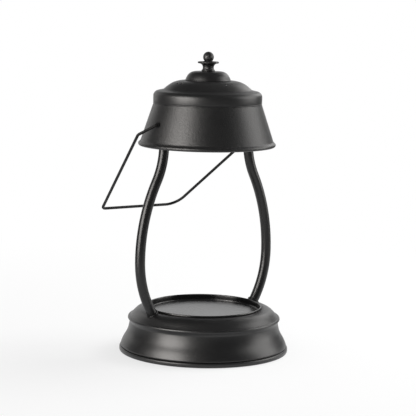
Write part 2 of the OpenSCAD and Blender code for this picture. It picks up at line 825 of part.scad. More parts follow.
// The leads leave the holder, pass the leg, run down the left post and
// end in the terminal block
lead_end_height = pin_room_top - 1.2 - lead_radius / 2;
lead_turn = [holder_radius + 9, lead_end_height];
lead_bow = [top_radius, lead_end_height - 15];
leg_hole_height = rail(lead_bow[1], lead_turn[1], (top_radius - leg_radius) / (top_radius - lead_turn[0]));
lead_drop = (foot_height - block_wire_height) / cos(foot_tilt);
lead_points = concat(
    [[pin_radius + pin_head + 1.6, lead_end_height], lead_turn, lead_bow],
    [for (i = [1:3]) post_points[i]],
    [foot_point],
    [foot_point - lead_drop * [sin(foot_tilt), cos(foot_tilt)]],
    [[-block_outer - 3.6, block_wire_height]]
);
lead_bends = [8, 8, neck_bend, upper_bend, lower_bend - 12, 12, 10];

module lead_wires() {
    color(rubber_black) mirror([1, 0, 0]) rotate([90, 0, 0]) bent_rod(lead_points, lead_bends, lead_radius);
}

// ---- bail ----------------------------------------------------------------

pivot_radius = cone_at(pivot_height);
wire_radius = bail_wire / 2;
bush_outer = pivot_radius + 1.2;
bush_flange = pivot_radius - 3.6;
clip_thick = 0.7;
clip_place = bush_flange - clip_thick - 0.1;
wire_end = clip_place - 0.5;
bail_right = [[wire_end, 0], [bush_outer + 1.4, 0], [bail_half, -bail_drop], [grip_half, -bail_reach]];
bail_left = [[-grip_half, -bail_reach + grip_lift], [-bail_half, -bail_drop], [-bush_outer - 1.4, 0], [-wire_end, 0]];
bail_points = concat(bail_right, bail_left);
bail_bends = [3.4, bail_bend, grip_bend_right, grip_bend_left, bail_bend, 3.4];

module bail() {
    color(black_paint) translate([0, 0, pivot_height]) rotate([90 + bail_rest, 0, 0])
        bent_rod(bail_points, bail_bends, wire_radius);
}

module along_pivot(place) translate([place, 0, pivot_height]) rotate([0, 90, 0]) children();

module bail_bushes() {
    color(brass) both_sides() difference() {
        union() {
            along_pivot(bush_flange) cylinder(h = bush_outer - bush_flange, r = bush_radius);
            along_pivot(bush_flange) cylinder(h = 1, r = bush_radius + 1.4);
        }
        along_pivot(bush_flange - 1) cylinder(h = bush_outer - bush_flange + 2, r = wire_radius + running_gap);
    }
}

module bail_clips() {
    color(zinc) both_sides() difference() {
        along_pivot(clip_place) cylinder(h = clip_thick, r = clip_radius);
        along_pivot(clip_place - 1) cylinder(h = clip_thick + 2, r = wire_radius);
    }
}

finial();
stem();
stem_nuts();
cap();
roof();
shade();
bracket();
lampholder();
holder_contacts();
holder_screws();
bulb_reflector();
bulb_lens();
bulb_capsule();
bulb_base();
bulb_pins();
bail();
bail_bushes();
bail_clips();
post_left();
post_right();
post_collars();
post_washers();
upper_post_nuts();
lower_post_nuts();
base_shell();
base_ring();
candle_dish();
tie_stud();
tie_nut();
bottom_cover();
felt_pad();
cord_bush();
lead_wires();
terminal_block();
terminal_screws();
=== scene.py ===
import math

import bmesh
import bpy
from mathutils import Matrix, Quaternion, Vector


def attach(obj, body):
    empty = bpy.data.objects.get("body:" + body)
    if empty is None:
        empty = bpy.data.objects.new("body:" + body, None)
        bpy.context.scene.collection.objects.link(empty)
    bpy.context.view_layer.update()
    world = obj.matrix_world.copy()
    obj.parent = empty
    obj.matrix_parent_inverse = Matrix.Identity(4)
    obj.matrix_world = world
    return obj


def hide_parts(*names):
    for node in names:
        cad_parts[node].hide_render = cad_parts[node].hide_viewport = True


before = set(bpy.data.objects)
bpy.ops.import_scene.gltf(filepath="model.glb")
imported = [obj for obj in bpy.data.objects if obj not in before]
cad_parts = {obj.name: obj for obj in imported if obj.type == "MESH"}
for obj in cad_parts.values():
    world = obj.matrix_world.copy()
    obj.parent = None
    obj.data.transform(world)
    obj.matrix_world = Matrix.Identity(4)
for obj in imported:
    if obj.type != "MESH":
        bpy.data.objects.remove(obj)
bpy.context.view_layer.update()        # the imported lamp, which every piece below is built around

mm = 0.001               # the lamp's own sizes below are in millimetres
creaseAngle = 38         # edges sharper than this stay crisp, in degrees

# Where the photographer stood and how the camera was held, in the lamp's own frame
cameraSpot = {
    "distance": 1.760, "height": 0.3998, "sideways": 0.000226, "azimuth": 38,
    "pitch": 0.1362, "yaw": 0.0016, "roll": 0.0184, "lens": 139.56, "sensor": 36, "shift": 0.5 / 416,
    "near": 0.05, "far": 30,
}


def setCamera(spot):
    data = bpy.data.cameras.new("photoCamera")
    camera = bpy.data.objects.new("photoCamera", data)
    bpy.context.scene.collection.objects.link(camera)
    pitch, yaw, roll = spot["pitch"], spot["yaw"], spot["roll"]
    ahead = Vector((math.sin(yaw) * math.cos(pitch), math.cos(yaw) * math.cos(pitch), -math.sin(pitch)))
    side = Vector((math.cos(yaw), -math.sin(yaw), 0))
    up = side.cross(ahead)
    leanSide = side * math.cos(roll) + up * math.sin(roll)
    leanUp = up * math.cos(roll) - side * math.sin(roll)
    turn = Matrix.Rotation(-math.radians(spot["azimuth"]), 3, "Z")
    axes = turn @ Matrix((leanSide, leanUp, -ahead)).transposed()
    spotAt = turn @ Vector((spot["sideways"], -spot["distance"], spot["height"]))
    camera.matrix_world = Matrix.Translation(spotAt) @ axes.to_4x4()
    data.sensor_width = spot["sensor"]
    data.lens = spot["lens"]
    data.shift_x = -spot["shift"]        # the picture's middle falls on a pixel, not between two
    data.shift_y = spot["shift"]
    data.clip_start, data.clip_end = spot["near"], spot["far"]
    bpy.context.scene.camera = camera


setCamera(cameraSpot)
print("lamp: camera set")

# Curves in a plane, as (radius, height) or (across, along) pairs in millimetres


def onCircle(centre, radius, degrees):
    turn = math.radians(degrees)
    return Vector((centre[0] + radius * math.cos(turn), centre[1] + radius * math.sin(turn)))


def arcPoints(centre, radius, start, end, steps=12):
    return [onCircle(centre, radius, start + (end - start) * i / steps) for i in range(steps + 1)]


def curvePoints(a, b, c, d, steps=24):
    a, b, c, d = Vector(a), Vector(b), Vector(c), Vector(d)
    made = []
    for i in range(steps + 1):
        t = i / steps
        s = 1 - t
        made.append(s * s * s * a + 3 * s * s * t * b + 3 * s * t * t * c + t * t * t * d)
    return made


def leftOf(way):
    return Vector((-way[1], way[0]))


def movedLeft(path, thick):
    made = []
    for i in range(len(path)):
        back = (path[max(i, 1)] - path[max(i, 1) - 1]).normalized()
        on = (path[min(i, len(path) - 2) + 1] - path[min(i, len(path) - 2)]).normalized()
        middle = (leftOf(back) + leftOf(on)).normalized()
        made.append(path[i] + middle * thick / max(middle.dot(leftOf(back)), 0.5))
    return made


def roundedEnd(here, there, steps=6):
    # half circle from one face of a sheet to the other, round its edge
    middle, half = (here + there) / 2, (here - there) / 2
    made = []
    for i in range(1, steps):
        t = math.pi * i / steps
        made.append(middle + half * math.cos(t) + leftOf(half) * math.sin(t))
    return made


def sheetLoop(path, thick):
    inner = movedLeft(path, thick)
    return path + roundedEnd(path[-1], inner[-1]) + list(reversed(inner)) + roundedEnd(inner[0], path[0])


def withoutRepeats(points, least=0.004):
    made = []
    for p in points:
        if not made or (p - made[-1]).length > least:
            made.append(p)
    if (made[0] - made[-1]).length <= least:
        made.pop()
    return made


# Meshes


def meshPiece(name, fill):
    mesh = bpy.data.meshes.new(name)
    bm = bmesh.new()
    fill(bm)
    bmesh.ops.recalc_face_normals(bm, faces=bm.faces)
    bm.to_mesh(mesh)
    bm.free()
    for face in mesh.polygons:
        face.use_smooth = True
    mesh.set_sharp_from_angle(angle=math.radians(creaseAngle))
    piece = bpy.data.objects.new(name, mesh)
    bpy.context.scene.collection.objects.link(piece)
    return piece


def joinRings(bm, rings):
    # a skin of quads over rings that have the same count of points
    count = len(rings[0])
    for first, second in zip(rings, rings[1:]):
        for i in range(count):
            bm.faces.new((first[i], first[(i + 1) % count], second[(i + 1) % count], second[i]))


def spin(bm, loop, turns=180, place=None, closed=True):
    # a lathe's work: the closed outline turned round the Z axis, then put in its place
    before = set(bm.verts)
    corners = [bm.verts.new((max(p[0], 0) * mm, 0, p[1] * mm)) for p in withoutRepeats([Vector(p) for p in loop])]
    pairs = list(zip(corners, corners[1:])) + ([(corners[-1], corners[0])] if closed else [])
    edges = [bm.edges.new(pair) for pair in pairs if pair[0].co.x > 1e-7 or pair[1].co.x > 1e-7]
    bmesh.ops.spin(bm, geom=corners + edges, cent=(0, 0, 0), axis=(0, 0, 1),
                   angle=2 * math.pi, steps=turns, use_merge=True)
    made = [v for v in bm.verts if v not in before]
    bmesh.ops.remove_doubles(bm, verts=made, dist=1e-7)
    made = [v for v in bm.verts if v not in before]
    if place is not None:
        bmesh.ops.transform(bm, matrix=place, verts=made)
    return made


def spunPiece(name, loop, turns=180):
    return meshPiece(name, lambda bm: spin(bm, loop, turns))


def sweep(bm, centres, frames, section):
    # rings of the section along a line; each frame gives the section's two directions
    rings = []
    for centre, (across, along) in zip(centres, frames):
        rings.append([bm.verts.new(centre + across * s[0] + along * s[1]) for s in section])
    joinRings(bm, rings)
    return rings


def circleSection(radius, sides):
    return [(radius * math.cos(2 * math.pi * i / sides), radius * math.sin(2 * math.pi * i / sides))
            for i in range(sides)]


def bentLine(points, bends, degreesEach=2.5, straightEach=12):
    # centre line of a bent rod: straight stretches joined by arcs
    points = [Vector(p) for p in points]
    made = [points[0]]

    def goStraight(end):
        start = made[-1]
        pieces = max(1, int((end - start).length / straightEach))
        made.extend(start.lerp(end, k / pieces) for k in range(1, pieces + 1))

    for i in range(1, len(points) - 1):
        back = (points[i] - points[i - 1]).normalized()
        on = (points[i + 1] - points[i]).normalized()
        angle = back.angle_signed(on)        # clockwise turns are positive here
        cut = bends[i - 1] * math.tan(abs(angle) / 2)
        first = points[i] - back * cut
        side = -1 if angle > 0 else 1
        centre = first + leftOf(back) * bends[i - 1] * side
        steps = max(4, int(math.degrees(abs(angle)) / degreesEach))
        goStraight(first)
        spoke = first - centre
        for k in range(1, steps + 1):
            t = side * abs(angle) * k / steps
            made.append(centre + Vector((spoke[0] * math.cos(t) - spoke[1] * math.sin(t),
                                         spoke[0] * math.sin(t) + spoke[1] * math.cos(t))))
    goStraight(points[-1])
    return withoutRepeats(made)


def planeFrames(line, toSpace, flat):
    # for a line in a plane: its points in space and, at each, the directions across it
    centres, frames = [], []
    for i, p in enumerate(line):
        way = (line[min(i + 1, len(line) - 1)] - line[max(i - 1, 0)]).normalized()
        centres.append(toSpace(p))
        frames.append(((toSpace(p + leftOf(way)) - toSpace(p)).normalized() * mm, flat * mm))
    return centres, frames


print("lamp: mesh tools ready")

# Shader node groups, each an effect that several finishes share


noiseMiddle = (0.3, 0.7)        # where most of a noise texture's values lie


def newGroup(name, inputs, outputs):
    group = bpy.data.node_groups.new(name, "ShaderNodeTree")
    for label, value in inputs.items():
        socket = group.interface.new_socket(name=label, in_out="INPUT", socket_type="NodeSocketFloat")
        socket.default_value = value
    for label in outputs:
        group.interface.new_socket(name=label, in_out="OUTPUT", socket_type="NodeSocketFloat")
    return group, group.nodes.new("NodeGroupInput"), group.nodes.new("NodeGroupOutput")


def feed(links, socket, value):
    # a number or a colour is set on the socket, and another node's output is linked to it
    if isinstance(value, (int, float)):
        socket.default_value = value
    elif isinstance(value, tuple):
        socket.default_value = (*value, 1)
    else:
        links.new(value, socket)


def mathOf(nodes, links, operation, *sources):
    node = nodes.new("ShaderNodeMath")
    node.operation = operation
    for socket, source in zip(node.inputs, sources):
        feed(links, socket, source)
    return node.outputs[0]


def ranged(nodes, links, source, fromLow, fromHigh, toLow=0.0, toHigh=1.0):
    node = nodes.new("ShaderNodeMapRange")
    node.interpolation_type = "SMOOTHSTEP"
    for socket, value in zip(node.inputs, (source, fromLow, fromHigh, toLow, toHigh)):
        feed(links, socket, value)
    return node.outputs[0]


def noiseOf(nodes, links, place, scale, detail, rough):
    node = nodes.new("ShaderNodeTexNoise")
    links.new(place, node.inputs["Vector"])
    for label, value in (("Scale", scale), ("Detail", detail), ("Roughness", rough)):
        feed(links, node.inputs[label], value)
    return node.outputs["Fac"]


def makeOrangePeel():
    # fine pebbles of a powder coat, riding on slower ripples
    group, start, end = newGroup("orangePeel", {"Pebble Scale": 900.0, "Ripple Scale": 160.0, "Ripple Share": 0.35},
                                 ("Height", "Mask"))
    nodes, links = group.nodes, group.links
    place = nodes.new("ShaderNodeTexCoord").outputs["Object"]
    pebble = noiseOf(nodes, links, place, start.outputs["Pebble Scale"], detail=2.0, rough=0.55)
    ripple = noiseOf(nodes, links, place, start.outputs["Ripple Scale"], detail=1.0, rough=0.4)
    rippled = mathOf(nodes, links, "MULTIPLY", ripple, start.outputs["Ripple Share"])
    links.new(mathOf(nodes, links, "ADD", pebble, rippled), end.inputs["Height"])
    links.new(ranged(nodes, links, pebble, *noiseMiddle), end.inputs["Mask"])
    return group


def makeRubbedEdge():
    # outer edges where the finish is thin, broken up so that no edge is rubbed evenly
    group, start, end = newGroup("rubbedEdge", {"From": 0.53, "To": 0.6, "Break Scale": 220.0}, ("Mask",))
    nodes, links = group.nodes, group.links
    point = nodes.new("ShaderNodeNewGeometry").outputs["Pointiness"]
    place = nodes.new("ShaderNodeTexCoord").outputs["Object"]
    patches = noiseOf(nodes, links, place, start.outputs["Break Scale"], detail=3.0, rough=0.6)
    broken = ranged(nodes, links, patches, fromLow=0.38, fromHigh=0.68)
    edge = ranged(nodes, links, point, start.outputs["From"], start.outputs["To"])
    links.new(mathOf(nodes, links, "MULTIPLY", edge, broken), end.inputs["Mask"])
    return group


def makeSettledDust():
    # a trace of dust on what faces up
    group, start, end = newGroup("settledDust", {"Scale": 90.0, "Steepest": 0.75}, ("Mask",))
    nodes, links = group.nodes, group.links
    split = nodes.new("ShaderNodeSeparateXYZ")
    links.new(nodes.new("ShaderNodeNewGeometry").outputs["Normal"], split.inputs[0])
    up = ranged(nodes, links, split.outputs["Z"], start.outputs["Steepest"], 1.0)
    place = nodes.new("ShaderNodeTexCoord").outputs["Object"]
    cloud = noiseOf(nodes, links, place, start.outputs["Scale"], detail=5.0, rough=0.65)
    cloud = ranged(nodes, links, cloud, fromLow=0.35, fromHigh=0.75)
    links.new(mathOf(nodes, links, "MULTIPLY", up, cloud), end.inputs["Mask"])
    return group


def makeTurningLines():
    # the fine rings that a lathe or a spinning tool leaves round the lamp's axis
    group, start, end = newGroup("turningLines", {"Spacing Scale": 700.0, "Wander": 0.0025}, ("Height", "Mask"))
    nodes, links = group.nodes, group.links
    place = nodes.new("ShaderNodeTexCoord").outputs["Object"]
    split = nodes.new("ShaderNodeSeparateXYZ")
    links.new(place, split.inputs[0])
    squares = [mathOf(nodes, links, "MULTIPLY", split.outputs[way], split.outputs[way]) for way in ("X", "Y")]
    radius = mathOf(nodes, links, "SQRT", mathOf(nodes, links, "ADD", *squares))
    ring = nodes.new("ShaderNodeCombineXYZ")
    links.new(radius, ring.inputs["X"])
    links.new(split.outputs["Z"], ring.inputs["Y"])
    wander = noiseOf(nodes, links, place, scale=30.0, detail=1.0, rough=0.5)
    links.new(mathOf(nodes, links, "MULTIPLY", wander, start.outputs["Wander"]), ring.inputs["Z"])
    lines = noiseOf(nodes, links, ring.outputs[0], start.outputs["Spacing Scale"], detail=3.0, rough=0.6)
    links.new(lines, end.inputs["Height"])
    links.new(ranged(nodes, links, lines, *noiseMiddle), end.inputs["Mask"])
    return group


def makeClouding():
    # slow unevenness of a finish
    group, start, end = newGroup("clouding", {"Scale": 25.0, "Detail": 3.0}, ("Mask",))
    nodes, links = group.nodes, group.links
    place = nodes.new("ShaderNodeTexCoord").outputs["Object"]
    cloud = noiseOf(nodes, links, place, start.outputs["Scale"], start.outputs["Detail"], rough=0.55)
    links.new(ranged(nodes, links, cloud, *noiseMiddle), end.inputs["Mask"])
    return group


orangePeel = makeOrangePeel()
rubbedEdge = makeRubbedEdge()
settledDust = makeSettledDust()
turningLines = makeTurningLines()
clouding = makeClouding()
print("lamp: finish effects ready")

# Finishes


def startFinish(name):
    material = bpy.data.materials.new(name)
    material.use_nodes = True
    nodes, links = material.node_tree.nodes, material.node_tree.links
    nodes.clear()
    shader = nodes.new("ShaderNodeBsdfPrincipled")
    output = nodes.new("ShaderNodeOutputMaterial")
    links.new(shader.outputs[0], output.inputs["Surface"])
    return material, nodes, links, shader


def placed(nodes, group, values):
    node = nodes.new("ShaderNodeGroup")
    node.node_tree = group
    for label, value in values.items():
        node.inputs[label].default_value = value
    return node


def colourMix(nodes, links, share, first, second):
    node = nodes.new("ShaderNodeMix")
    node.data_type = "RGBA"
    for i, value in ((0, share), (6, first), (7, second)):        # the sockets of a mix of colours
        feed(links, node.inputs[i], value)
    return node.outputs[2]


def numberMix(nodes, links, share, first, second):
    node = nodes.new("ShaderNodeMix")
    node.data_type = "FLOAT"
    for i, value in ((0, share), (2, first), (3, second)):        # the sockets of a mix of numbers
        feed(links, node.inputs[i], value)
    return node.outputs[0]


def bumped(nodes, links, shader, height, strength, depth):
    bump = nodes.new("ShaderNodeBump")
    bump.inputs["Strength"].default_value = strength
    bump.inputs["Distance"].default_value = depth
    links.new(height, bump.inputs["Height"])
    links.new(bump.outputs[0], shader.inputs["Normal"])


def roughened(nodes, links, shader, mask, limits, more=None):
    rough = ranged(nodes, links, mask, 0.0, 1.0, *limits)
    if more is not None:
        rough = mathOf(nodes, links, "ADD", rough, more)
    links.new(rough, shader.inputs["Roughness"])


satinBlack = {
    "colour": (0.0085, 0.0085, 0.0090), "paler": (0.0120, 0.0119, 0.0120), "cloudScale": 24.0, "cloudRough": 0.03,
    "thin": (0.030, 0.029, 0.028), "rub": 1.0, "dust": (0.060, 0.059, 0.056), "dustShare": 0.10,
    "pebbleScale": 1100.0, "rippleScale": 150.0, "rippleShare": 0.30, "peel": 0.14, "peelDepth": 0.00012,
    "roughness": (0.36, 0.43), "ior": 1.50,
}


def satinPaint(name, change):
    v = dict(satinBlack, **change)
    material, nodes, links, shader = startFinish(name)
    peel = placed(nodes, orangePeel, {"Pebble Scale": v["pebbleScale"], "Ripple Scale": v["rippleScale"],
                                      "Ripple Share": v["rippleShare"]})
    clouds = placed(nodes, clouding, {"Scale": v["cloudScale"]}).outputs["Mask"]
    edge = placed(nodes, rubbedEdge, {}).outputs["Mask"]
    dust = placed(nodes, settledDust, {}).outputs["Mask"]
    base = colourMix(nodes, links, clouds, v["colour"], v["paler"])
    base = colourMix(nodes, links, mathOf(nodes, links, "MULTIPLY", edge, v["rub"]), base, v["thin"])
    base = colourMix(nodes, links, mathOf(nodes, links, "MULTIPLY", dust, v["dustShare"]), base, v["dust"])
    links.new(base, shader.inputs["Base Color"])
    roughened(nodes, links, shader, peel.outputs["Mask"], v["roughness"],
              mathOf(nodes, links, "MULTIPLY", clouds, v["cloudRough"]))
    shader.inputs["IOR"].default_value = v["ior"]
    bumped(nodes, links, shader, peel.outputs["Height"], v["peel"], v["peelDepth"])
    return material


castBlack = {
    "colour": (0.0105, 0.0100, 0.0098), "thin": (0.045, 0.042, 0.038), "roughness": (0.30, 0.48), "ior": 1.52,
    "grain": {"Pebble Scale": 1400.0, "Ripple Scale": 260.0, "Ripple Share": 2.4}, "lump": 0.5, "lumpDepth": 0.0006,
    "edge": {"From": 0.52, "To": 0.62, "Break Scale": 500.0},
}


def castPaint(name, v):
    material, nodes, links, shader = startFinish(name)
    grain = placed(nodes, orangePeel, v["grain"])
    edge = placed(nodes, rubbedEdge, v["edge"])
    links.new(colourMix(nodes, links, edge.outputs["Mask"], v["colour"], v["thin"]), shader.inputs["Base Color"])
    roughened(nodes, links, shader, grain.outputs["Mask"], v["roughness"])
    shader.inputs["IOR"].default_value = v["ior"]
    bumped(nodes, links, shader, grain.outputs["Height"], v["lump"], v["lumpDepth"])
    return material


# Finishes that share one recipe: clouds mix two colours, a fine relief sets roughness and bump,
# and marks, where a finish has them, are stains or pores in a colour of their own
mottledFinishes = {
    "zincPlate": {
        "relief": turningLines, "reliefValues": {"Spacing Scale": 900.0}, "clouds": {"Scale": 60.0, "Detail": 5.0},
        "colour": (0.58, 0.59, 0.61), "clouded": (0.44, 0.45, 0.46), "cloudShare": 1.0,
        "marks": settledDust, "marksValues": {"Scale": 300.0, "Steepest": -1.0}, "marksPower": 1.0,
        "marksShare": 0.12, "marked": (0.34, 0.32, 0.28),
        "roughness": (0.26, 0.44), "bump": 0.35, "bumpDepth": 0.00004, "shader": {"Metallic": 1.0},
    },
    "turnedBrass": {
        "relief": turningLines, "reliefValues": {"Spacing Scale": 1500.0}, "clouds": {"Scale": 160.0, "Detail": 5.0},
        "colour": (0.66, 0.46, 0.19), "clouded": (0.36, 0.24, 0.10), "cloudShare": 0.55,
        "roughness": (0.22, 0.40), "bump": 0.3, "bumpDepth": 0.00004, "shader": {"Metallic": 1.0},
    },
    "bisqueCeramic": {
        "relief": orangePeel, "reliefValues": {"Pebble Scale": 1800.0, "Ripple Scale": 300.0, "Ripple Share": 0.8},
        "clouds": {"Scale": 70.0, "Detail": 4.0},
        "colour": (0.70, 0.67, 0.60), "clouded": (0.55, 0.53, 0.48), "cloudShare": 1.0,
        "marks": clouding, "marksValues": {"Scale": 2600.0, "Detail": 1.0}, "marksPower": 5.0,
        "marksShare": 0.4, "marked": (0.30, 0.28, 0.24),
        "roughness": (0.55, 0.75), "bump": 0.3, "bumpDepth": 0.0001, "shader": {},
    },
    "mirrorCoat": {
        "relief": orangePeel, "reliefValues": {"Pebble Scale": 500.0, "Ripple Scale": 120.0},
        "clouds": {"Scale": 80.0, "Detail": 4.0},
        "colour": (0.82, 0.83, 0.86), "clouded": (0.72, 0.66, 0.58), "cloudShare": 0.35,
        "roughness": (0.05, 0.16), "bump": 0.0, "bumpDepth": 0.0, "shader": {"Metallic": 1.0},
    },
    "clearGlass": {
        "relief": orangePeel, "reliefValues": {"Pebble Scale": 400.0, "Ripple Scale": 90.0},
        "clouds": {"Scale": 110.0, "Detail": 4.0},
        "colour": (0.97, 0.98, 0.98), "clouded": (0.88, 0.90, 0.91), "cloudShare": 0.5,
        "roughness": (0.0, 0.05), "roughWithClouds": True, "bump": 0.05, "bumpDepth": 0.0001,
        "shader": {"Transmission Weight": 1.0, "IOR": 1.47},
    },
    "siliconeRubber": {
        "relief": orangePeel, "reliefValues": {"Pebble Scale": 1500.0, "Ripple Scale": 240.0, "Ripple Share": 0.6},
        "clouds": {"Scale": 120.0, "Detail": 4.0},
        "colour": (0.010, 0.010, 0.0105), "clouded": (0.030, 0.030, 0.031), "cloudShare": 1.0,
        "roughness": (0.48, 0.66), "bump": 0.2, "bumpDepth": 0.0001, "shader": {},
    },
}


def mottledFinish(name, v):
    material, nodes, links, shader = startFinish(name)
    relief = placed(nodes, v["relief"], v["reliefValues"])
    clouds = placed(nodes, clouding, v["clouds"])
    share = mathOf(nodes, links, "MULTIPLY", clouds.outputs["Mask"], v["cloudShare"])
    base = colourMix(nodes, links, share, v["colour"], v["clouded"])
    if "marks" in v:
        marks = placed(nodes, v["marks"], v["marksValues"]).outputs["Mask"]
        marks = mathOf(nodes, links, "POWER", marks, v["marksPower"])
        base = colourMix(nodes, links, mathOf(nodes, links, "MULTIPLY", marks, v["marksShare"]), base, v["marked"])
    links.new(base, shader.inputs["Base Color"])
    rougher = clouds if v.get("roughWithClouds") else relief
    roughened(nodes, links, shader, rougher.outputs["Mask"], v["roughness"])
    for label, value in v["shader"].items():
        shader.inputs[label].default_value = value
    if v["bump"]:
        bumped(nodes, links, shader, relief.outputs["Height"], v["bump"], v["bumpDepth"])
    return material


feltBlack = {
    "colour": (0.012, 0.012, 0.013), "lint": (0.07, 0.07, 0.072), "lintShare": 0.4, "hairScale": 850.0,
    "hairEdge": (0.02, 0.12), "tangleScale": 420.0, "tangle": 0.004, "clouds": {"Scale": 45.0, "Detail": 5.0},
    "wornShare": 0.12, "roughness": (0.85, 1.0), "sheen": 0.25, "sheenRough": 0.6, "bump": 0.6, "bumpDepth": 0.0004,
}


def pressedFelt(name, v):
    # short hairs in a tangle, with lint on them and paler worn patches
    material, nodes, links, shader = startFinish(name)
    place = nodes.new("ShaderNodeTexCoord").outputs["Object"]
    tangle = nodes.new("ShaderNodeTexNoise")
    tangle.inputs["Scale"].default_value = v["tangleScale"]
    links.new(place, tangle.inputs["Vector"])
    warp = nodes.new("ShaderNodeVectorMath")
    warp.operation = "MULTIPLY_ADD"
    links.new(tangle.outputs["Color"], warp.inputs[0])
    warp.inputs[1].default_value = (v["tangle"], v["tangle"], v["tangle"])
    links.new(place, warp.inputs[2])
    hairs = nodes.new("ShaderNodeTexVoronoi")
    hairs.feature = "DISTANCE_TO_EDGE"
    hairs.inputs["Scale"].default_value = v["hairScale"]
    links.new(warp.outputs[0], hairs.inputs["Vector"])
    clouds = placed(nodes, clouding, v["clouds"]).outputs["Mask"]
    onHairs = ranged(nodes, links, hairs.outputs["Distance"], *v["hairEdge"], 1.0, 0.0)
    lint = mathOf(nodes, links, "MULTIPLY", onHairs, v["lintShare"])
    fuzzy = colourMix(nodes, links, lint, v["colour"], v["lint"])
    worn = mathOf(nodes, links, "MULTIPLY", clouds, v["wornShare"])
    links.new(colourMix(nodes, links, worn, fuzzy, v["lint"]), shader.inputs["Base Color"])
    roughened(nodes, links, shader, clouds, v["roughness"])
    shader.inputs["Sheen Weight"].default_value = v["sheen"]
    shader.inputs["Sheen Roughness"].default_value = v["sheenRough"]
    bumped(nodes, links, shader, hairs.outputs["Distance"], v["bump"], v["bumpDepth"])
    return material


glassSleeve = {
    "thread": (0.50, 0.47, 0.40), "gap": (0.16, 0.145, 0.12), "roughness": (0.8, 0.6), "braidScale": 520.0,
    "distortion": 0.6, "slants": (0.7, -0.7), "tilt": 0.4, "turn": 0.3, "bump": 0.4, "bumpDepth": 0.0002,
}


def braidedSleeve(name, v):
    # glass-fibre sleeve of the lead wires: two families of slanting threads
    material, nodes, links, shader = startFinish(name)
    place = nodes.new("ShaderNodeTexCoord").outputs["Object"]
    families = []
    for slant in v["slants"]:
        turned = nodes.new("ShaderNodeMapping")
        turned.inputs["Rotation"].default_value = (v["tilt"], slant, v["turn"])
        links.new(place, turned.inputs["Vector"])
        waves = nodes.new("ShaderNodeTexWave")
        waves.inputs["Scale"].default_value = v["braidScale"]
        waves.inputs["Distortion"].default_value = v["distortion"]
        links.new(turned.outputs[0], waves.inputs["Vector"])
        families.append(waves.outputs["Fac"])
    braid = mathOf(nodes, links, "MAXIMUM", *families)
    links.new(colourMix(nodes, links, braid, v["gap"], v["thread"]), shader.inputs["Base Color"])
    roughened(nodes, links, shader, braid, v["roughness"])
    bumped(nodes, links, shader, braid, v["bump"], v["bumpDepth"])
    return material


shadePaint = satinPaint("shadePaint", {"peel": 0.9, "peelDepth": 0.00018, "pebbleScale": 700.0, "rippleShare": 0.12})
roofPaint = satinPaint("roofPaint", {"peel": 0.10, "dustShare": 0.05})
basePaint = satinPaint("basePaint", {"peel": 0.08, "roughness": (0.31, 0.38)})
dishPaint = satinPaint("dishPaint", {"peel": 0.05, "rippleShare": 0.15, "roughness": (0.20, 0.26)})
tubePaint = satinPaint("tubePaint", {"peel": 0.025, "rippleShare": 0.0, "rub": 0.0, "roughness": (0.26, 0.31),
                                     "ior": 1.44})
wirePaint = satinPaint("wirePaint", {"peel": 0.02, "rippleShare": 0.0, "rub": 0.0, "roughness": (0.46, 0.54),
                                     "ior": 1.30, "colour": (0.006, 0.006, 0.0062),
                                     "paler": (0.0075, 0.0075, 0.0076)})
# the bail bushes get a darker black than the other paint: painted shade for the shadow where they sit in the shade's
# wall
bushPaintedShade = satinPaint("bushPaintedShade", {"peel": 0.03, "rippleShare": 0.0, "rub": 0.0, "roughness": (0.24, 0.32),
                                     "colour": (0.004, 0.004, 0.0042), "paler": (0.005, 0.005, 0.0052)})
finialPaint = castPaint("finialPaint", castBlack)
zinc, brass, ceramic, mirror, glass, silicone = [mottledFinish(n, v) for n, v in mottledFinishes.items()]
felt = pressedFelt("pressedFelt", feltBlack)
sleeve = braidedSleeve("braidedSleeve", glassSleeve)
print("lamp: finishes ready")


def fit(piece, finish, body, node):
    # gives a piece its finish and its body, and puts it in the place of a CAD node
    piece.data.materials.clear()
    piece.data.materials.append(finish)
    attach(piece, body)
    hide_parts(node)


def punch(piece, cutters):
    # cuts the holes for good, so that no modifier is left on the piece
    for cutter in cutters:
        cut = piece.modifiers.new("hole", "BOOLEAN")
        cut.object = cutter
        cut.solver = "EXACT"
    seen = bpy.context.evaluated_depsgraph_get()
    mesh = bpy.data.meshes.new_from_object(piece.evaluated_get(seen))
    piece.modifiers.clear()
    piece.data = mesh
    mesh.set_sharp_from_angle(angle=math.radians(creaseAngle))
    for cutter in cutters:
        bpy.data.objects.remove(cutter)


def drill(radius, start, end, place, sides=48):
    loop = [(0, start), (radius, start), (radius, end), (0, end)]
    return meshPiece("drill", lambda bm: spin(bm, loop, sides, place, closed=False))


# Base

# a pair named pull says how far a curve's handle lies from the curve's end, outwards and upwards
baseShell = {
    "flangeHole": 85.1, "foot": 92.0, "bandTop": 5.5, "edgeRound": 1.5, "sideStart": 0.3, "sidePull": (-3.5, 11.4),
    "waist": (82.4, 32), "waistPull": (2, -14.7), "hollowStart": 0.4, "hollowPull": 1.7, "hollowTurn": (0.55, -1.15),
    "hollowEnd": -45.84, "bead": 1.9, "beadRise": 4.9, "beadStart": -42, "beadEnd": 104, "slopeRadius": 77.5,
    "slopeLift": 4.6, "brimRadius": 75, "shoulder": 48.8, "shoulderEnd": 64.4, "holeEdge": 63.15,
    "sheet": 1.0, "turns": 256,
}


def beadCentre(v):
    return Vector(v["waist"]) + Vector((0, v["beadRise"]))


def shoulderCurve(v, steps=36):
    beadTop = onCircle(beadCentre(v), v["bead"], v["beadEnd"])
    return curvePoints(beadTop, (v["slopeRadius"], beadTop[1] + v["slopeLift"]), (v["brimRadius"], v["shoulder"]),
                       (v["shoulderEnd"], v["shoulder"]), steps)


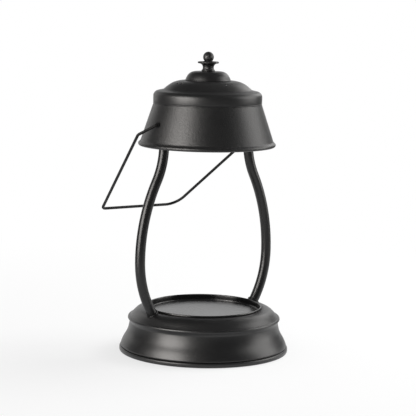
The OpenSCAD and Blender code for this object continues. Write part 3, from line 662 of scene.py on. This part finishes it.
def shellPath(v):
    waist, beadAt, edge = Vector(v["waist"]), beadCentre(v), v["edgeRound"]
    side = Vector((v["foot"], v["bandTop"] + edge + v["sideStart"]))
    path = [Vector((v["flangeHole"], v["bandTop"]))]
    path += arcPoints((v["foot"] - edge, v["bandTop"] + edge), edge, -90, 0, 10)
    path += curvePoints(side, side + Vector(v["sidePull"]), waist + Vector(v["waistPull"]), waist, 48)
    # the waist turns into the bead through a small hollow
    path += curvePoints(waist + Vector((0, v["hollowStart"])), waist + Vector((0, v["hollowPull"])),
                        beadAt + v["bead"] * Vector(v["hollowTurn"]), onCircle(beadAt, v["bead"], v["hollowEnd"]), 8)
    path += arcPoints(beadAt, v["bead"], v["beadStart"], v["beadEnd"], 16)
    path += shoulderCurve(v)[1:]
    path.append(Vector((v["holeEdge"], v["shoulder"])))
    return withoutRepeats(path, 0.02)


shoulderLine = shoulderCurve(baseShell, 60)


def shoulderHeight(radius):
    for outer, inner in zip(shoulderLine, shoulderLine[1:]):
        if inner[0] <= radius <= outer[0]:
            share = (outer[0] - radius) / (outer[0] - inner[0])
            return outer[1] + (inner[1] - outer[1]) * share
    return baseShell["shoulder"]


base = spunPiece("baseShellSpun", sheetLoop(shellPath(baseShell), baseShell["sheet"]), baseShell["turns"])
fit(base, basePaint, "lamp", "base_shell")

baseRing = {
    "radius": 93.4, "lift": 1, "footEase": (0.15, 0.4), "top": 5.5, "round": 1.6, "inner": 86.4, "sheet": 1.2,
    "turns": 256,
}


def ringPath(v):
    ease = v["footEase"]
    path = [Vector((v["radius"] - ease[0], v["lift"])), Vector((v["radius"], v["lift"] + ease[1]))]
    path += arcPoints((v["radius"] - v["round"], v["top"] - v["round"]), v["round"], 0, 90, 10)
    return path + [Vector((v["inner"], v["top"]))]


ring = spunPiece("baseRingPressed", sheetLoop(ringPath(baseRing), baseRing["sheet"]), baseRing["turns"])
fit(ring, basePaint, "lamp", "base_ring")

candleDish = {
    "rim": (62.8, 49.8), "rimSize": 1.0, "rimTurn": (-75, 178), "rimPull": -1.6, "wallFoot": 60.6,
    "wallPull": (1.6, 3.4), "wallEnd": (1.5, 1.6), "corner": 1.5, "cornerStart": -6, "groove": 43.8, "plate": 58,
    "plateHeight": 45.4, "grooveEnd": 1.7, "groovePull": 1.1, "platePull": (0.7, -0.1), "plateEdge": -0.2,
    "plateRings": (0.98, 0.9, 0.75, 0.5, 0.25, 0), "sheet": 1.0, "turns": 224,
}


def dishLoop(v):
    rim, size = Vector(v["rim"]), v["rimSize"]
    corner = Vector((v["wallFoot"], v["groove"]))
    plateEdge = Vector((v["plate"], v["plateHeight"]))
    path = curvePoints(rim + Vector((-size, 0)), rim + Vector((-size, v["rimPull"])), corner + Vector(v["wallPull"]),
                       corner + Vector(v["wallEnd"]), 12)
    path += arcPoints(corner + Vector((0, v["corner"])), v["corner"], v["cornerStart"], -90, 10)
    path += curvePoints((v["plate"] + v["grooveEnd"], v["groove"]), (v["plate"] + v["groovePull"], v["groove"]),
                        plateEdge + Vector(v["platePull"]), plateEdge + Vector((v["plateEdge"], 0)), 10)
    path += [Vector((v["plate"] * share, v["plateHeight"])) for share in v["plateRings"]]
    path = withoutRepeats(path, 0.02)
    roll = arcPoints(rim, size, *v["rimTurn"], 26)
    return roll + path + list(reversed(movedLeft(path, v["sheet"])))


dish = spunPiece("candleDishPressed", dishLoop(candleDish), candleDish["turns"])
fit(dish, dishPaint, "lamp", "candle_dish")

feltPad = {
    "radius": 82, "thick": 2.0, "edge": 0.5, "dimple": 0.08, "rings": (0.15, 0.3, 0.45, 0.6, 0.75, 0.9), "turns": 160,
}


def fillFelt(bm):
    v = feltPad
    side, edge = v["radius"] - v["edge"], v["edge"]
    loop = [(0, 0)] + [(v["radius"] * share, v["dimple"] * (i % 2)) for i, share in enumerate(v["rings"])]
    loop += arcPoints((side, edge), edge, -90, 0, 6) + arcPoints((side, v["thick"] - edge), edge, 0, 90, 6)
    spin(bm, loop + [(0, v["thick"])], v["turns"], closed=False)


fit(meshPiece("feltPadCut", fillFelt), felt, "lamp", "felt_pad")
print("lamp: base built")

# Posts

posts = {
    "radius": 5.5, "foot": 70.8, "belly": 88, "top": 58.2, "topHeight": 240, "bends": (86, 187, 107), "neckRun": 2.0,
    "bellyRun": 1, "sink": 0.4, "lip": 0.93, "lipDrop": 0.35, "slideRange": 12, "sides": 40,
    "thread": 4.0, "threadPitch": 1.25, "threadTop": 247.5, "threadSink": 0.2, "threadDepth": 0.55,
    "threadFade": 0.8, "threadTaper": 0.5,
    "collar": 6.6, "collarRise": 1.4, "collarEdge": 0.35, "collarSink": 0.3, "collarBore": 0.02, "boreEdge": 0.25,
    "boreDrop": 0.2, "collarTurns": 72, "collarSteps": (0, 0.4, 0.8, 1.2, math.pi / 2),
}


def postLine(v):
    # the corners of the bent line, its foot on the shoulder, and the foot's direction
    neck, upper, lower = v["bends"]
    straight, run = v["neckRun"], v["bellyRun"]
    footHeight = shoulderHeight(v["foot"])
    footAngle = math.acos(1 - (v["belly"] - v["foot"]) / lower)
    reach, both = v["belly"] - v["top"], upper + neck
    neckAngle = 2 * math.atan((math.sqrt(straight * straight + reach * (2 * both - reach)) - straight)
                              / (2 * both - reach))
    bellyHeight = footHeight + lower * math.sin(footAngle) + run
    neckHeight = bellyHeight + both * math.sin(neckAngle) + straight * math.cos(neckAngle)
    foot = Vector((v["foot"], footHeight))
    points = [(v["top"], v["topHeight"]), (v["top"], neckHeight - neck * math.tan(neckAngle / 2)),
              (v["belly"], bellyHeight + upper * math.tan(neckAngle / 2)),
              (v["belly"], bellyHeight - run - lower * math.tan(footAngle / 2)), foot]
    return points, foot, Vector((math.sin(footAngle), math.cos(footAngle)))


def ontoShoulder(start, way):
    # slides a point along its post until it meets the shell's sloped shoulder
    low, high = -posts["slideRange"], posts["slideRange"]
    for _ in range(40):
        middle = (low + high) / 2
        p = start + way * middle
        if p.z > shoulderHeight(math.hypot(p.x, p.y)):
            high = middle
        else:
            low = middle
    return start + way * high


def fillPost(bm, v, side):
    points, foot, footWay = postLine(v)
    line = bentLine(points, v["bends"], 1.6, 10)
    centres, frames = planeFrames(line, lambda p: Vector((side * p[0], 0, p[1])) * mm, Vector((0, 1, 0)))
    rings = sweep(bm, centres, frames, circleSection(v["radius"], v["sides"]))
    way = Vector((side * footWay[0], 0, footWay[1]))
    for vert in rings[-1]:
        vert.co = (ontoShoulder(vert.co / mm, way) - way * v["sink"]) * mm
    # the tube's top edge is eased
    topAt = Vector((side * v["top"], 0, v["topHeight"])) * mm
    lip = [bm.verts.new(topAt + (vert.co - topAt) * v["lip"]) for vert in rings[0]]
    for vert in rings[0]:
        vert.co.z -= v["lipDrop"] * mm
    joinRings(bm, [lip, rings[0]])
    bm.faces.new(lip)
    bm.faces.new(rings[-1])
    addThread(bm, Vector((side * v["top"], 0, 0)), v)


def addThread(bm, place, v, around=36, perPitch=8):
    # a real helix: each ring's radius follows the thread's height at that angle
    start, end, pitch = v["topHeight"] - v["threadSink"], v["threadTop"], v["threadPitch"]
    rows = int((end - start) / pitch * perPitch)
    rings = []
    for row in range(rows + 1):
        z = start + (end - start) * row / rows
        taper = (1 - min(1.0, (end - z) / v["threadFade"])) * v["threadTaper"]
        ring = []
        for i in range(around):
            phase = ((z - start) / pitch - i / around) % 1.0
            spoke = onCircle(place, v["thread"] - v["threadDepth"] * pitch * abs(2 * phase - 1) - taper,
                             360 * i / around)
            ring.append(bm.verts.new(Vector((spoke[0], spoke[1], z)) * mm))
        rings.append(ring)
    joinRings(bm, rings)
    bm.faces.new(rings[-1])
    bm.faces.new(list(reversed(rings[0])))


def fillCollar(bm, v, side):
    points, foot, footWay = postLine(v)
    axis = Vector((side * footWay[0], 0, footWay[1]))
    across = Vector((side * footWay[1], 0, -footWay[0]))
    flat = axis.cross(across)
    footAt = Vector((side * foot[0], 0, foot[1]))
    outer, inner, edge = v["collar"], v["radius"] + v["collarBore"], v["collarEdge"]
    top, sink = footAt + axis * v["collarRise"], axis * v["collarSink"]
    rows = []
    for i in range(v["collarTurns"]):
        turn = 2 * math.pi * i / v["collarTurns"]
        spoke = across * math.cos(turn) + flat * math.sin(turn)
        low = ontoShoulder(footAt + spoke * outer, axis)
        lineUp = [ontoShoulder(footAt + spoke * inner, axis) - sink, low - sink, low]
        lineUp += [top + spoke * (outer - edge + edge * math.cos(a)) - axis * (edge - edge * math.sin(a))
                   for a in v["collarSteps"]]
        lineUp += [top + spoke * (inner + v["boreEdge"]), top + spoke * inner - axis * v["boreDrop"]]
        rows.append([bm.verts.new(p * mm) for p in lineUp])
    joinRings(bm, rows + rows[:1])


for side, name, node in ((-1, "postTubeLeft", "post_left"), (1, "postTubeRight", "post_right")):
    tube = meshPiece(name, lambda bm: fillPost(bm, posts, side))
    fit(tube, tubePaint, "lamp", node)


def fillCollars(bm):
    fillCollar(bm, posts, -1)
    fillCollar(bm, posts, 1)


fit(meshPiece("postCollarsFitted", fillCollars), tubePaint, "lamp", "post_collars")
print("lamp: posts built")

# Shade, roof, cap and finial

shade = {
    "lip": (73.2, 230.2), "lipSize": 2.2, "curlStart": 172, "curlEnd": 38, "flarePull": 0.9, "flareJoin": (0.8, 2.4),
    "coneFoot": (73.3, 232.18), "coneTop": (59.3, 274.1), "coneRings": 12, "collar": 58.3, "collarStep": 0.5,
    "collarTop": 285.3, "collarRound": 4, "flange": 44, "sheet": 0.9, "turns": 224, "pivot": 253, "bushRadius": 3.05,
    "bushHole": (60, 74),
}


def shadeLoop(v):
    lip, foot, top = Vector(v["lip"]), Vector(v["coneFoot"]), Vector(v["coneTop"])
    way = (top - foot).normalized()
    path = [foot.lerp(top, i / v["coneRings"]) for i in range(v["coneRings"] + 1)]
    path.append(Vector((v["collar"], top[1] + v["collarStep"])))
    edge = v["collarRound"]
    path += arcPoints((v["collar"] - edge, v["collarTop"] - edge), edge, 0, 90, 10)
    path.append(Vector((v["flange"], v["collarTop"])))
    curl = arcPoints(lip, v["lipSize"], v["curlStart"], 360 + v["curlEnd"], 34)
    curlWay = leftOf(curl[-1] - lip).normalized()
    join = v["flareJoin"]
    flare = curvePoints(curl[-1], curl[-1] + curlWay * v["flarePull"], foot + way * join[0], foot + way * join[1], 10)
    return curl + flare[1:] + path[1:] + list(reversed(movedLeft(path, v["sheet"])))


shadePiece = spunPiece("shadeSpun", shadeLoop(shade), shade["turns"])
pivotAt = Matrix.Translation((0, 0, shade["pivot"] * mm)) @ Matrix.Rotation(math.radians(90), 4, "Y")
holeIn, holeOut = shade["bushHole"]
punch(shadePiece, [drill(shade["bushRadius"], holeIn, holeOut, pivotAt),
                   drill(shade["bushRadius"], -holeOut, -holeIn, pivotAt)])
fit(shadePiece, shadePaint, "lamp", "shade")

roof = {
    "skirt": 59.5, "skirtFoot": 274.25, "skirtStart": 2.2, "beadSize": 0.6, "beadProud": 0.15, "beadTurn": (-180, 78),
    "roundAt": (53.7, 282.25), "round": 5.8, "roundEnd": 78, "crease": (48.6, 289.35), "creaseStart": (-0.3, 0.07),
    "creasePulls": ((2.6, -0.75), (0.4, -0.2)), "creaseEnd": (-0.9, 0.62), "domeFoot": 0.75, "domePull": (-5, 4.2),
    "domeEnd": (10, 0.2), "domeTop": 299.35, "capEdge": 26.5, "chimney": 18, "sheet": 0.8, "turns": 224,
    "vents": 1.5, "ventsAt": 38, "ventCut": 3, "groups": 4, "inGroup": 2, "step": 11, "turn": -1.5,
}


def roofLoop(v):
    crease, top = Vector(v["crease"]), v["domeTop"]
    bead = arcPoints((v["skirt"] - v["beadSize"] + v["beadProud"], v["skirtFoot"] + v["beadSize"]), v["beadSize"],
                     *v["beadTurn"], 20)
    path = [Vector((v["skirt"], v["skirtFoot"] + v["skirtStart"]))]
    path += arcPoints(v["roundAt"], v["round"], 0, v["roundEnd"], 22)
    pulls = [crease + Vector(pull) for pull in v["creasePulls"]]
    path += curvePoints(path[-1] + Vector(v["creaseStart"]), *pulls, crease + Vector(v["creaseEnd"]), 12)
    dome = curvePoints(crease, crease + Vector(v["domePull"]), (crease[0] - v["domeEnd"][0], top - v["domeEnd"][1]),
                       (v["capEdge"], top), 44)
    path += [p for p in dome if p[1] > crease[1] + v["domeFoot"]]
    path.append(Vector((v["chimney"], top)))
    path = withoutRepeats(path, 0.02)
    inner = movedLeft(path, v["sheet"])
    return bead + path + roundedEnd(path[-1], inner[-1]) + list(reversed(inner))


def ventDrills(v):
    made = []
    for group in range(v["groups"]):
        for hole in range(v["inGroup"]):
            angle = group * 360 / v["groups"] + v["turn"] + (hole - (v["inGroup"] - 1) / 2) * v["step"]
            place = Matrix.Rotation(math.radians(angle), 4, "Z") @ Matrix.Translation((v["ventsAt"] * mm, 0, 0))
            made.append(drill(v["vents"], v["crease"][1], v["domeTop"] + v["ventCut"], place, 32))
    return made


roofPiece = spunPiece("roofSpun", roofLoop(roof), roof["turns"])
punch(roofPiece, ventDrills(roof))
fit(roofPiece, roofPaint, "lamp", "roof")

cap = {
    "foot": (25.2, 299.4), "hem": 0.35, "hemTurn": (-90, 60), "sideStart": (-0.5, 0.8), "footPull": (-1.9, 4),
    "topPull": (-3.7, 0.2), "topEdge": 12.45, "top": 309.4, "bore": 3.15, "sheet": 1.0, "footInside": -1.6,
    "turns": 144,
}


def capLoop(v):
    foot, topPull = Vector(v["foot"]), v["topPull"]
    hem = arcPoints(foot + Vector((-v["hem"], v["hem"])), v["hem"], *v["hemTurn"], 10)
    path = curvePoints(foot + Vector(v["sideStart"]), foot + Vector(v["footPull"]),
                       (foot[0] + topPull[0], v["top"] + topPull[1]), (v["topEdge"], v["top"]), 40)
    path.append(Vector((v["bore"], v["top"])))
    return hem + path + list(reversed(movedLeft(path, v["sheet"]))) + [foot + Vector((v["footInside"], 0))]


fit(spunPiece("capSpun", capLoop(cap), cap["turns"]), roofPaint, "lamp", "cap")

# a pair beside a size, such as footEase, lies outwards and upwards from that size's own point
finial = {
    "bore": 3.05, "foot": 7.4, "footHeight": 309.4, "footEase": ((-0.6, 0), (-0.12, 0.18), (0, 0.55), (-0.1, 1.2)),
    "neck": 6.0, "neckFoot": ((0.3, 2.4), (-0.4, 5)), "neckTop": (0.2, -2.2), "disc": 11.6, "discHeight": 319.3,
    "discFlare": (-1.9, -1.3), "discRound": 1.0, "discTurn": (-70, 100), "discMiddle": -0.3, "discTop": (-1.9, 0.75),
    "ball": 5.9, "ballPulls": ((2.4, 0.95), (0.2, 1.0)), "ballFoot": (0.77, 1.3), "ballTurn": (-42, 90), "top": 330.7,
    "boreTop": (1, 2.4), "turns": 96,
}


def finialLoop(v):
    foot, neck = Vector((v["foot"], v["footHeight"])), Vector((v["neck"], v["footHeight"]))
    disc, ball = Vector((v["disc"], v["discHeight"])), Vector((v["ball"], v["discHeight"]))
    neckTop, ballAt = Vector((v["neck"], v["discHeight"])), v["top"] - v["ball"]
    loop = [Vector((v["bore"], v["footHeight"]))] + [foot + Vector(ease) for ease in v["footEase"]]
    loop += curvePoints(*[neck + Vector(p) for p in v["neckFoot"]], neckTop + Vector(v["neckTop"]),
                        disc + Vector(v["discFlare"]), 22)
    loop += arcPoints(disc + Vector((-v["discRound"], v["discMiddle"])), v["discRound"], *v["discTurn"], 14)
    loop += curvePoints(disc + Vector(v["discTop"]), *[ball + Vector(p) for p in v["ballPulls"]],
                        (v["ball"] * v["ballFoot"][0], v["discHeight"] + v["ballFoot"][1]), 10)
    loop += arcPoints((0, ballAt), v["ball"], *v["ballTurn"], 30)
    return loop + [Vector((0, ballAt - v["boreTop"][0])), Vector((v["bore"], ballAt - v["boreTop"][1]))]


fit(spunPiece("finialCast", finialLoop(finial), finial["turns"]), finialPaint, "lamp", "finial")
print("lamp: shade, roof, cap and finial built")

# Bail

bail = {
    "wire": 1.6, "pivot": 253, "half": 84, "drop": 16.2, "grip": 53.5, "reach": 165.5, "lift": 3, "rest": 49.5,
    "pinEnd": 61.45, "pinStart": 68.95, "bends": (3.4, 4, 18, 6, 4, 3.4), "bevel": 0.3, "bevelShare": 0.8,
    "sides": 28,
}


def fillBail(bm):
    v = bail
    right = [(v["pinEnd"], 0), (v["pinStart"], 0), (v["half"], -v["drop"]), (v["grip"], -v["reach"])]
    left = [(-p[0], p[1]) for p in reversed(right)]
    left[0] = (-v["grip"], v["lift"] - v["reach"])        # the grip is bent a little askew
    line = bentLine(right + left, v["bends"], 4, 8)
    tilt = math.radians(90 + v["rest"])
    down = Vector((0, math.cos(tilt), math.sin(tilt)))
    pivot, aside = Vector((0, 0, v["pivot"])), Vector((1, 0, 0))
    centres, frames = planeFrames(line, lambda p: (pivot + aside * p[0] + down * p[1]) * mm, aside.cross(down))
    rings = sweep(bm, centres, frames, circleSection(v["wire"], v["sides"]))
    # the sawn ends are eased with a small bevel
    for ring, outward in ((rings[0], -1), (rings[-1], 1)):
        middle = sum((vert.co for vert in ring), Vector()) / len(ring)
        bevel = aside * outward * v["bevel"] * mm
        face = [bm.verts.new(middle + (vert.co - middle) * v["bevelShare"] + bevel) for vert in ring]
        joinRings(bm, [ring, face])
        bm.faces.new(face)


fit(meshPiece("bailWire", fillBail), wirePaint, "bail", "bail")
print("lamp: bail built")

# Each CAD node gets its finish, also where a finer mesh stands for it
cadFinishes = (
    (zinc, ("stem", "stem_nuts", "bracket", "holder_screws", "bulb_pins", "bail_clips", "post_washers",
            "upper_post_nuts", "lower_post_nuts", "tie_stud", "tie_nut", "bottom_cover")),
    (ceramic, ("lampholder", "bulb_base", "terminal_block")), (brass, ("holder_contacts", "terminal_screws")),
    (mirror, ("bulb_reflector",)), (glass, ("bulb_lens", "bulb_capsule")), (bushPaintedShade, ("bail_bushes",)),
    (silicone, ("cord_bush",)), (sleeve, ("lead_wires",)), (felt, ("felt_pad",)), (finialPaint, ("finial",)),
    (roofPaint, ("cap", "roof")), (shadePaint, ("shade",)), (wirePaint, ("bail",)), (dishPaint, ("candle_dish",)),
    (tubePaint, ("post_left", "post_right", "post_collars")), (basePaint, ("base_shell", "base_ring")),
)
for finish, nodeNames in cadFinishes:
    for nodeName in nodeNames:
        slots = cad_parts[nodeName].data.materials
        slots.clear()
        slots.append(finish)
print("lamp: CAD nodes finished")

# Studio: a white sweep, a large soft box on the left, a strip and a high box on the right, a faint edge light
# on the far left, and a wash that falls on the floor alone

studio = {
    "floorSize": 12.0, "floorColour": (0.86, 0.86, 0.86), "shadowShare": 0.30, "fade": (0.25, 0.8), "backdrop": 1.0,
    "mirrorFloor": 1.0, "mirrorFade": (0.3, 0.9), "fill": 0.55, "roomFront": 0.10, "roomBack": 1.0,
    "backEdge": (0.80, 0.98), "roomTop": (0.32, 0.52),
}


def seenRays(nodes, links):
    path = nodes.new("ShaderNodeLightPath")
    seen = mathOf(nodes, links, "MAXIMUM", path.outputs["Is Camera Ray"], path.outputs["Is Transmission Ray"])
    return seen, path.outputs["Is Glossy Ray"]


def backShare(nodes, links, way, v):
    # 1 straight behind the lamp as the camera stands, 0 to the sides and in front
    azimuth = math.radians(cameraSpot["azimuth"])
    flat = nodes.new("ShaderNodeVectorMath")
    flat.operation = "MULTIPLY"
    flat.inputs[1].default_value = (1, 1, 0)
    links.new(way, flat.inputs[0])
    straight = nodes.new("ShaderNodeVectorMath")
    straight.operation = "NORMALIZE"
    links.new(flat.outputs[0], straight.inputs[0])
    toBack = nodes.new("ShaderNodeVectorMath")
    toBack.operation = "DOT_PRODUCT"
    toBack.inputs[1].default_value = (math.sin(azimuth), math.cos(azimuth), 0)
    links.new(straight.outputs[0], toBack.inputs[0])
    return ranged(nodes, links, toBack.outputs["Value"], *v["backEdge"])


def makeFloor(v):
    def fill(bm):
        bmesh.ops.create_grid(bm, x_segments=24, y_segments=24, size=v["floorSize"] / 2)
    floor = meshPiece("studioFloor", fill)
    material = bpy.data.materials.new("studioFloorWhite")
    material.use_nodes = True
    nodes, links = material.node_tree.nodes, material.node_tree.links
    nodes.clear()
    place = nodes.new("ShaderNodeTexCoord").outputs["Object"]
    length = nodes.new("ShaderNodeVectorMath")
    length.operation = "LENGTH"
    links.new(place, length.inputs[0])
    near = ranged(nodes, links, length.outputs["Value"], *v["fade"], v["shadowShare"], 0.0)
    seen, glossy = seenRays(nodes, links)
    # mirrored in the paint, the paper is white only near the lamp and behind it
    behind = backShare(nodes, links, place, v)
    close = ranged(nodes, links, length.outputs["Value"], *v["mirrorFade"], 1.0, 0.0)
    either = mathOf(nodes, links, "MAXIMUM", behind, close)
    white = ranged(nodes, links, either, 0.0, 1.0, v["roomFront"], v["mirrorFloor"])
    level = numberMix(nodes, links, glossy, v["backdrop"], white)
    seen = mathOf(nodes, links, "MAXIMUM", seen, glossy)
    matt = nodes.new("ShaderNodeBsdfDiffuse")
    matt.inputs["Color"].default_value = (*v["floorColour"], 1)
    glow = nodes.new("ShaderNodeEmission")
    glow.inputs["Color"].default_value = (1, 1, 1, 1)
    links.new(level, glow.inputs["Strength"])
    mixed = nodes.new("ShaderNodeMixShader")
    links.new(near, mixed.inputs[0])
    links.new(glow.outputs[0], mixed.inputs[1])
    links.new(matt.outputs[0], mixed.inputs[2])
    chosen = nodes.new("ShaderNodeMixShader")
    links.new(seen, chosen.inputs[0])
    links.new(matt.outputs[0], chosen.inputs[1])
    links.new(mixed.outputs[0], chosen.inputs[2])
    output = nodes.new("ShaderNodeOutputMaterial")
    links.new(chosen.outputs[0], output.inputs["Surface"])
    floor.data.materials.append(material)


def makeRoom(v):
    world = bpy.data.worlds.new("studioRoom")
    world.use_nodes = True
    bpy.context.scene.world = world
    nodes, links = world.node_tree.nodes, world.node_tree.links
    nodes.clear()
    seen, glossy = seenRays(nodes, links)
    # the white sweep stands behind the lamp; the room in front of it is dim
    place = nodes.new("ShaderNodeTexCoord").outputs["Generated"]
    split = nodes.new("ShaderNodeSeparateXYZ")
    links.new(place, split.inputs[0])
    behind = backShare(nodes, links, place, v)
    low = ranged(nodes, links, split.outputs["Z"], *v["roomTop"], 1.0, 0.0)
    white = mathOf(nodes, links, "MULTIPLY", behind, low)
    mirrored = ranged(nodes, links, white, 0.0, 1.0, v["roomFront"], v["roomBack"])
    level = numberMix(nodes, links, glossy, v["fill"], mirrored)
    final = numberMix(nodes, links, seen, level, v["backdrop"])
    background = nodes.new("ShaderNodeBackground")
    background.inputs["Color"].default_value = (1, 1, 1, 1)
    links.new(final, background.inputs["Strength"])
    output = nodes.new("ShaderNodeOutputWorld")
    links.new(background.outputs[0], output.inputs["Surface"])


plainBox = {"aim": 0.3, "lean": 0, "floorOnly": False, "colour": (1.0, 0.985, 0.965)}
softBoxes = {
    "bigLeft": {"turn": -49, "height": 0.44, "far": 0.95, "wide": 0.68, "tall": 0.84, "power": 18.0, "aim": 0.34,
                "lean": 12, "colour": (1.0, 0.965, 0.93)},
    "stripRight": {"turn": 98, "height": 0.64, "far": 1.35, "wide": 0.95, "tall": 1.20, "power": 13.2},
    "highRight": {"turn": 140, "height": 0.86, "far": 1.20, "wide": 0.90, "tall": 0.62, "power": 3.9, "aim": 0.2,
                  "colour": (1.0, 0.99, 0.975)},
    "edgeLeft": {"turn": -138, "height": 0.50, "far": 1.4, "wide": 0.60, "tall": 1.0, "power": 1.9},
    "floorWash": {"turn": 118, "height": 1.35, "far": 1.0, "wide": 1.0, "tall": 1.0, "power": 22, "aim": 0.0,
                  "floorOnly": True, "colour": (1.0, 1.0, 1.0)},
}


def makeSoftBox(name, v):
    # turn is counted round the lamp from the camera's side, to the right
    angle = math.radians(cameraSpot["azimuth"] - v["turn"])
    spot = Vector((-math.sin(angle) * v["far"], -math.cos(angle) * v["far"], v["height"]))
    data = bpy.data.lights.new(name, "AREA")
    data.shape = "RECTANGLE"
    data.size, data.size_y = v["wide"], v["tall"]
    data.energy = v["power"]
    data.color = v["colour"]
    light = bpy.data.objects.new(name, data)
    light.location = spot
    light.rotation_mode = "QUATERNION"
    turned = (Vector((0, 0, v["aim"])) - spot).to_track_quat("-Z", "Y")
    light.rotation_quaternion = turned @ Quaternion((0, 0, 1), math.radians(v["lean"]))
    light.visible_camera = False
    light.visible_diffuse = v["floorOnly"]        # the boxes are only mirrored, so that the paper stays even
    light.visible_glossy = not v["floorOnly"]
    bpy.context.scene.collection.objects.link(light)


makeFloor(studio)
makeRoom(studio)
for boxName, boxValues in softBoxes.items():
    makeSoftBox(boxName, dict(plainBox, **boxValues))
bpy.context.scene.view_settings.view_transform = "Standard"
print("lamp: studio set")
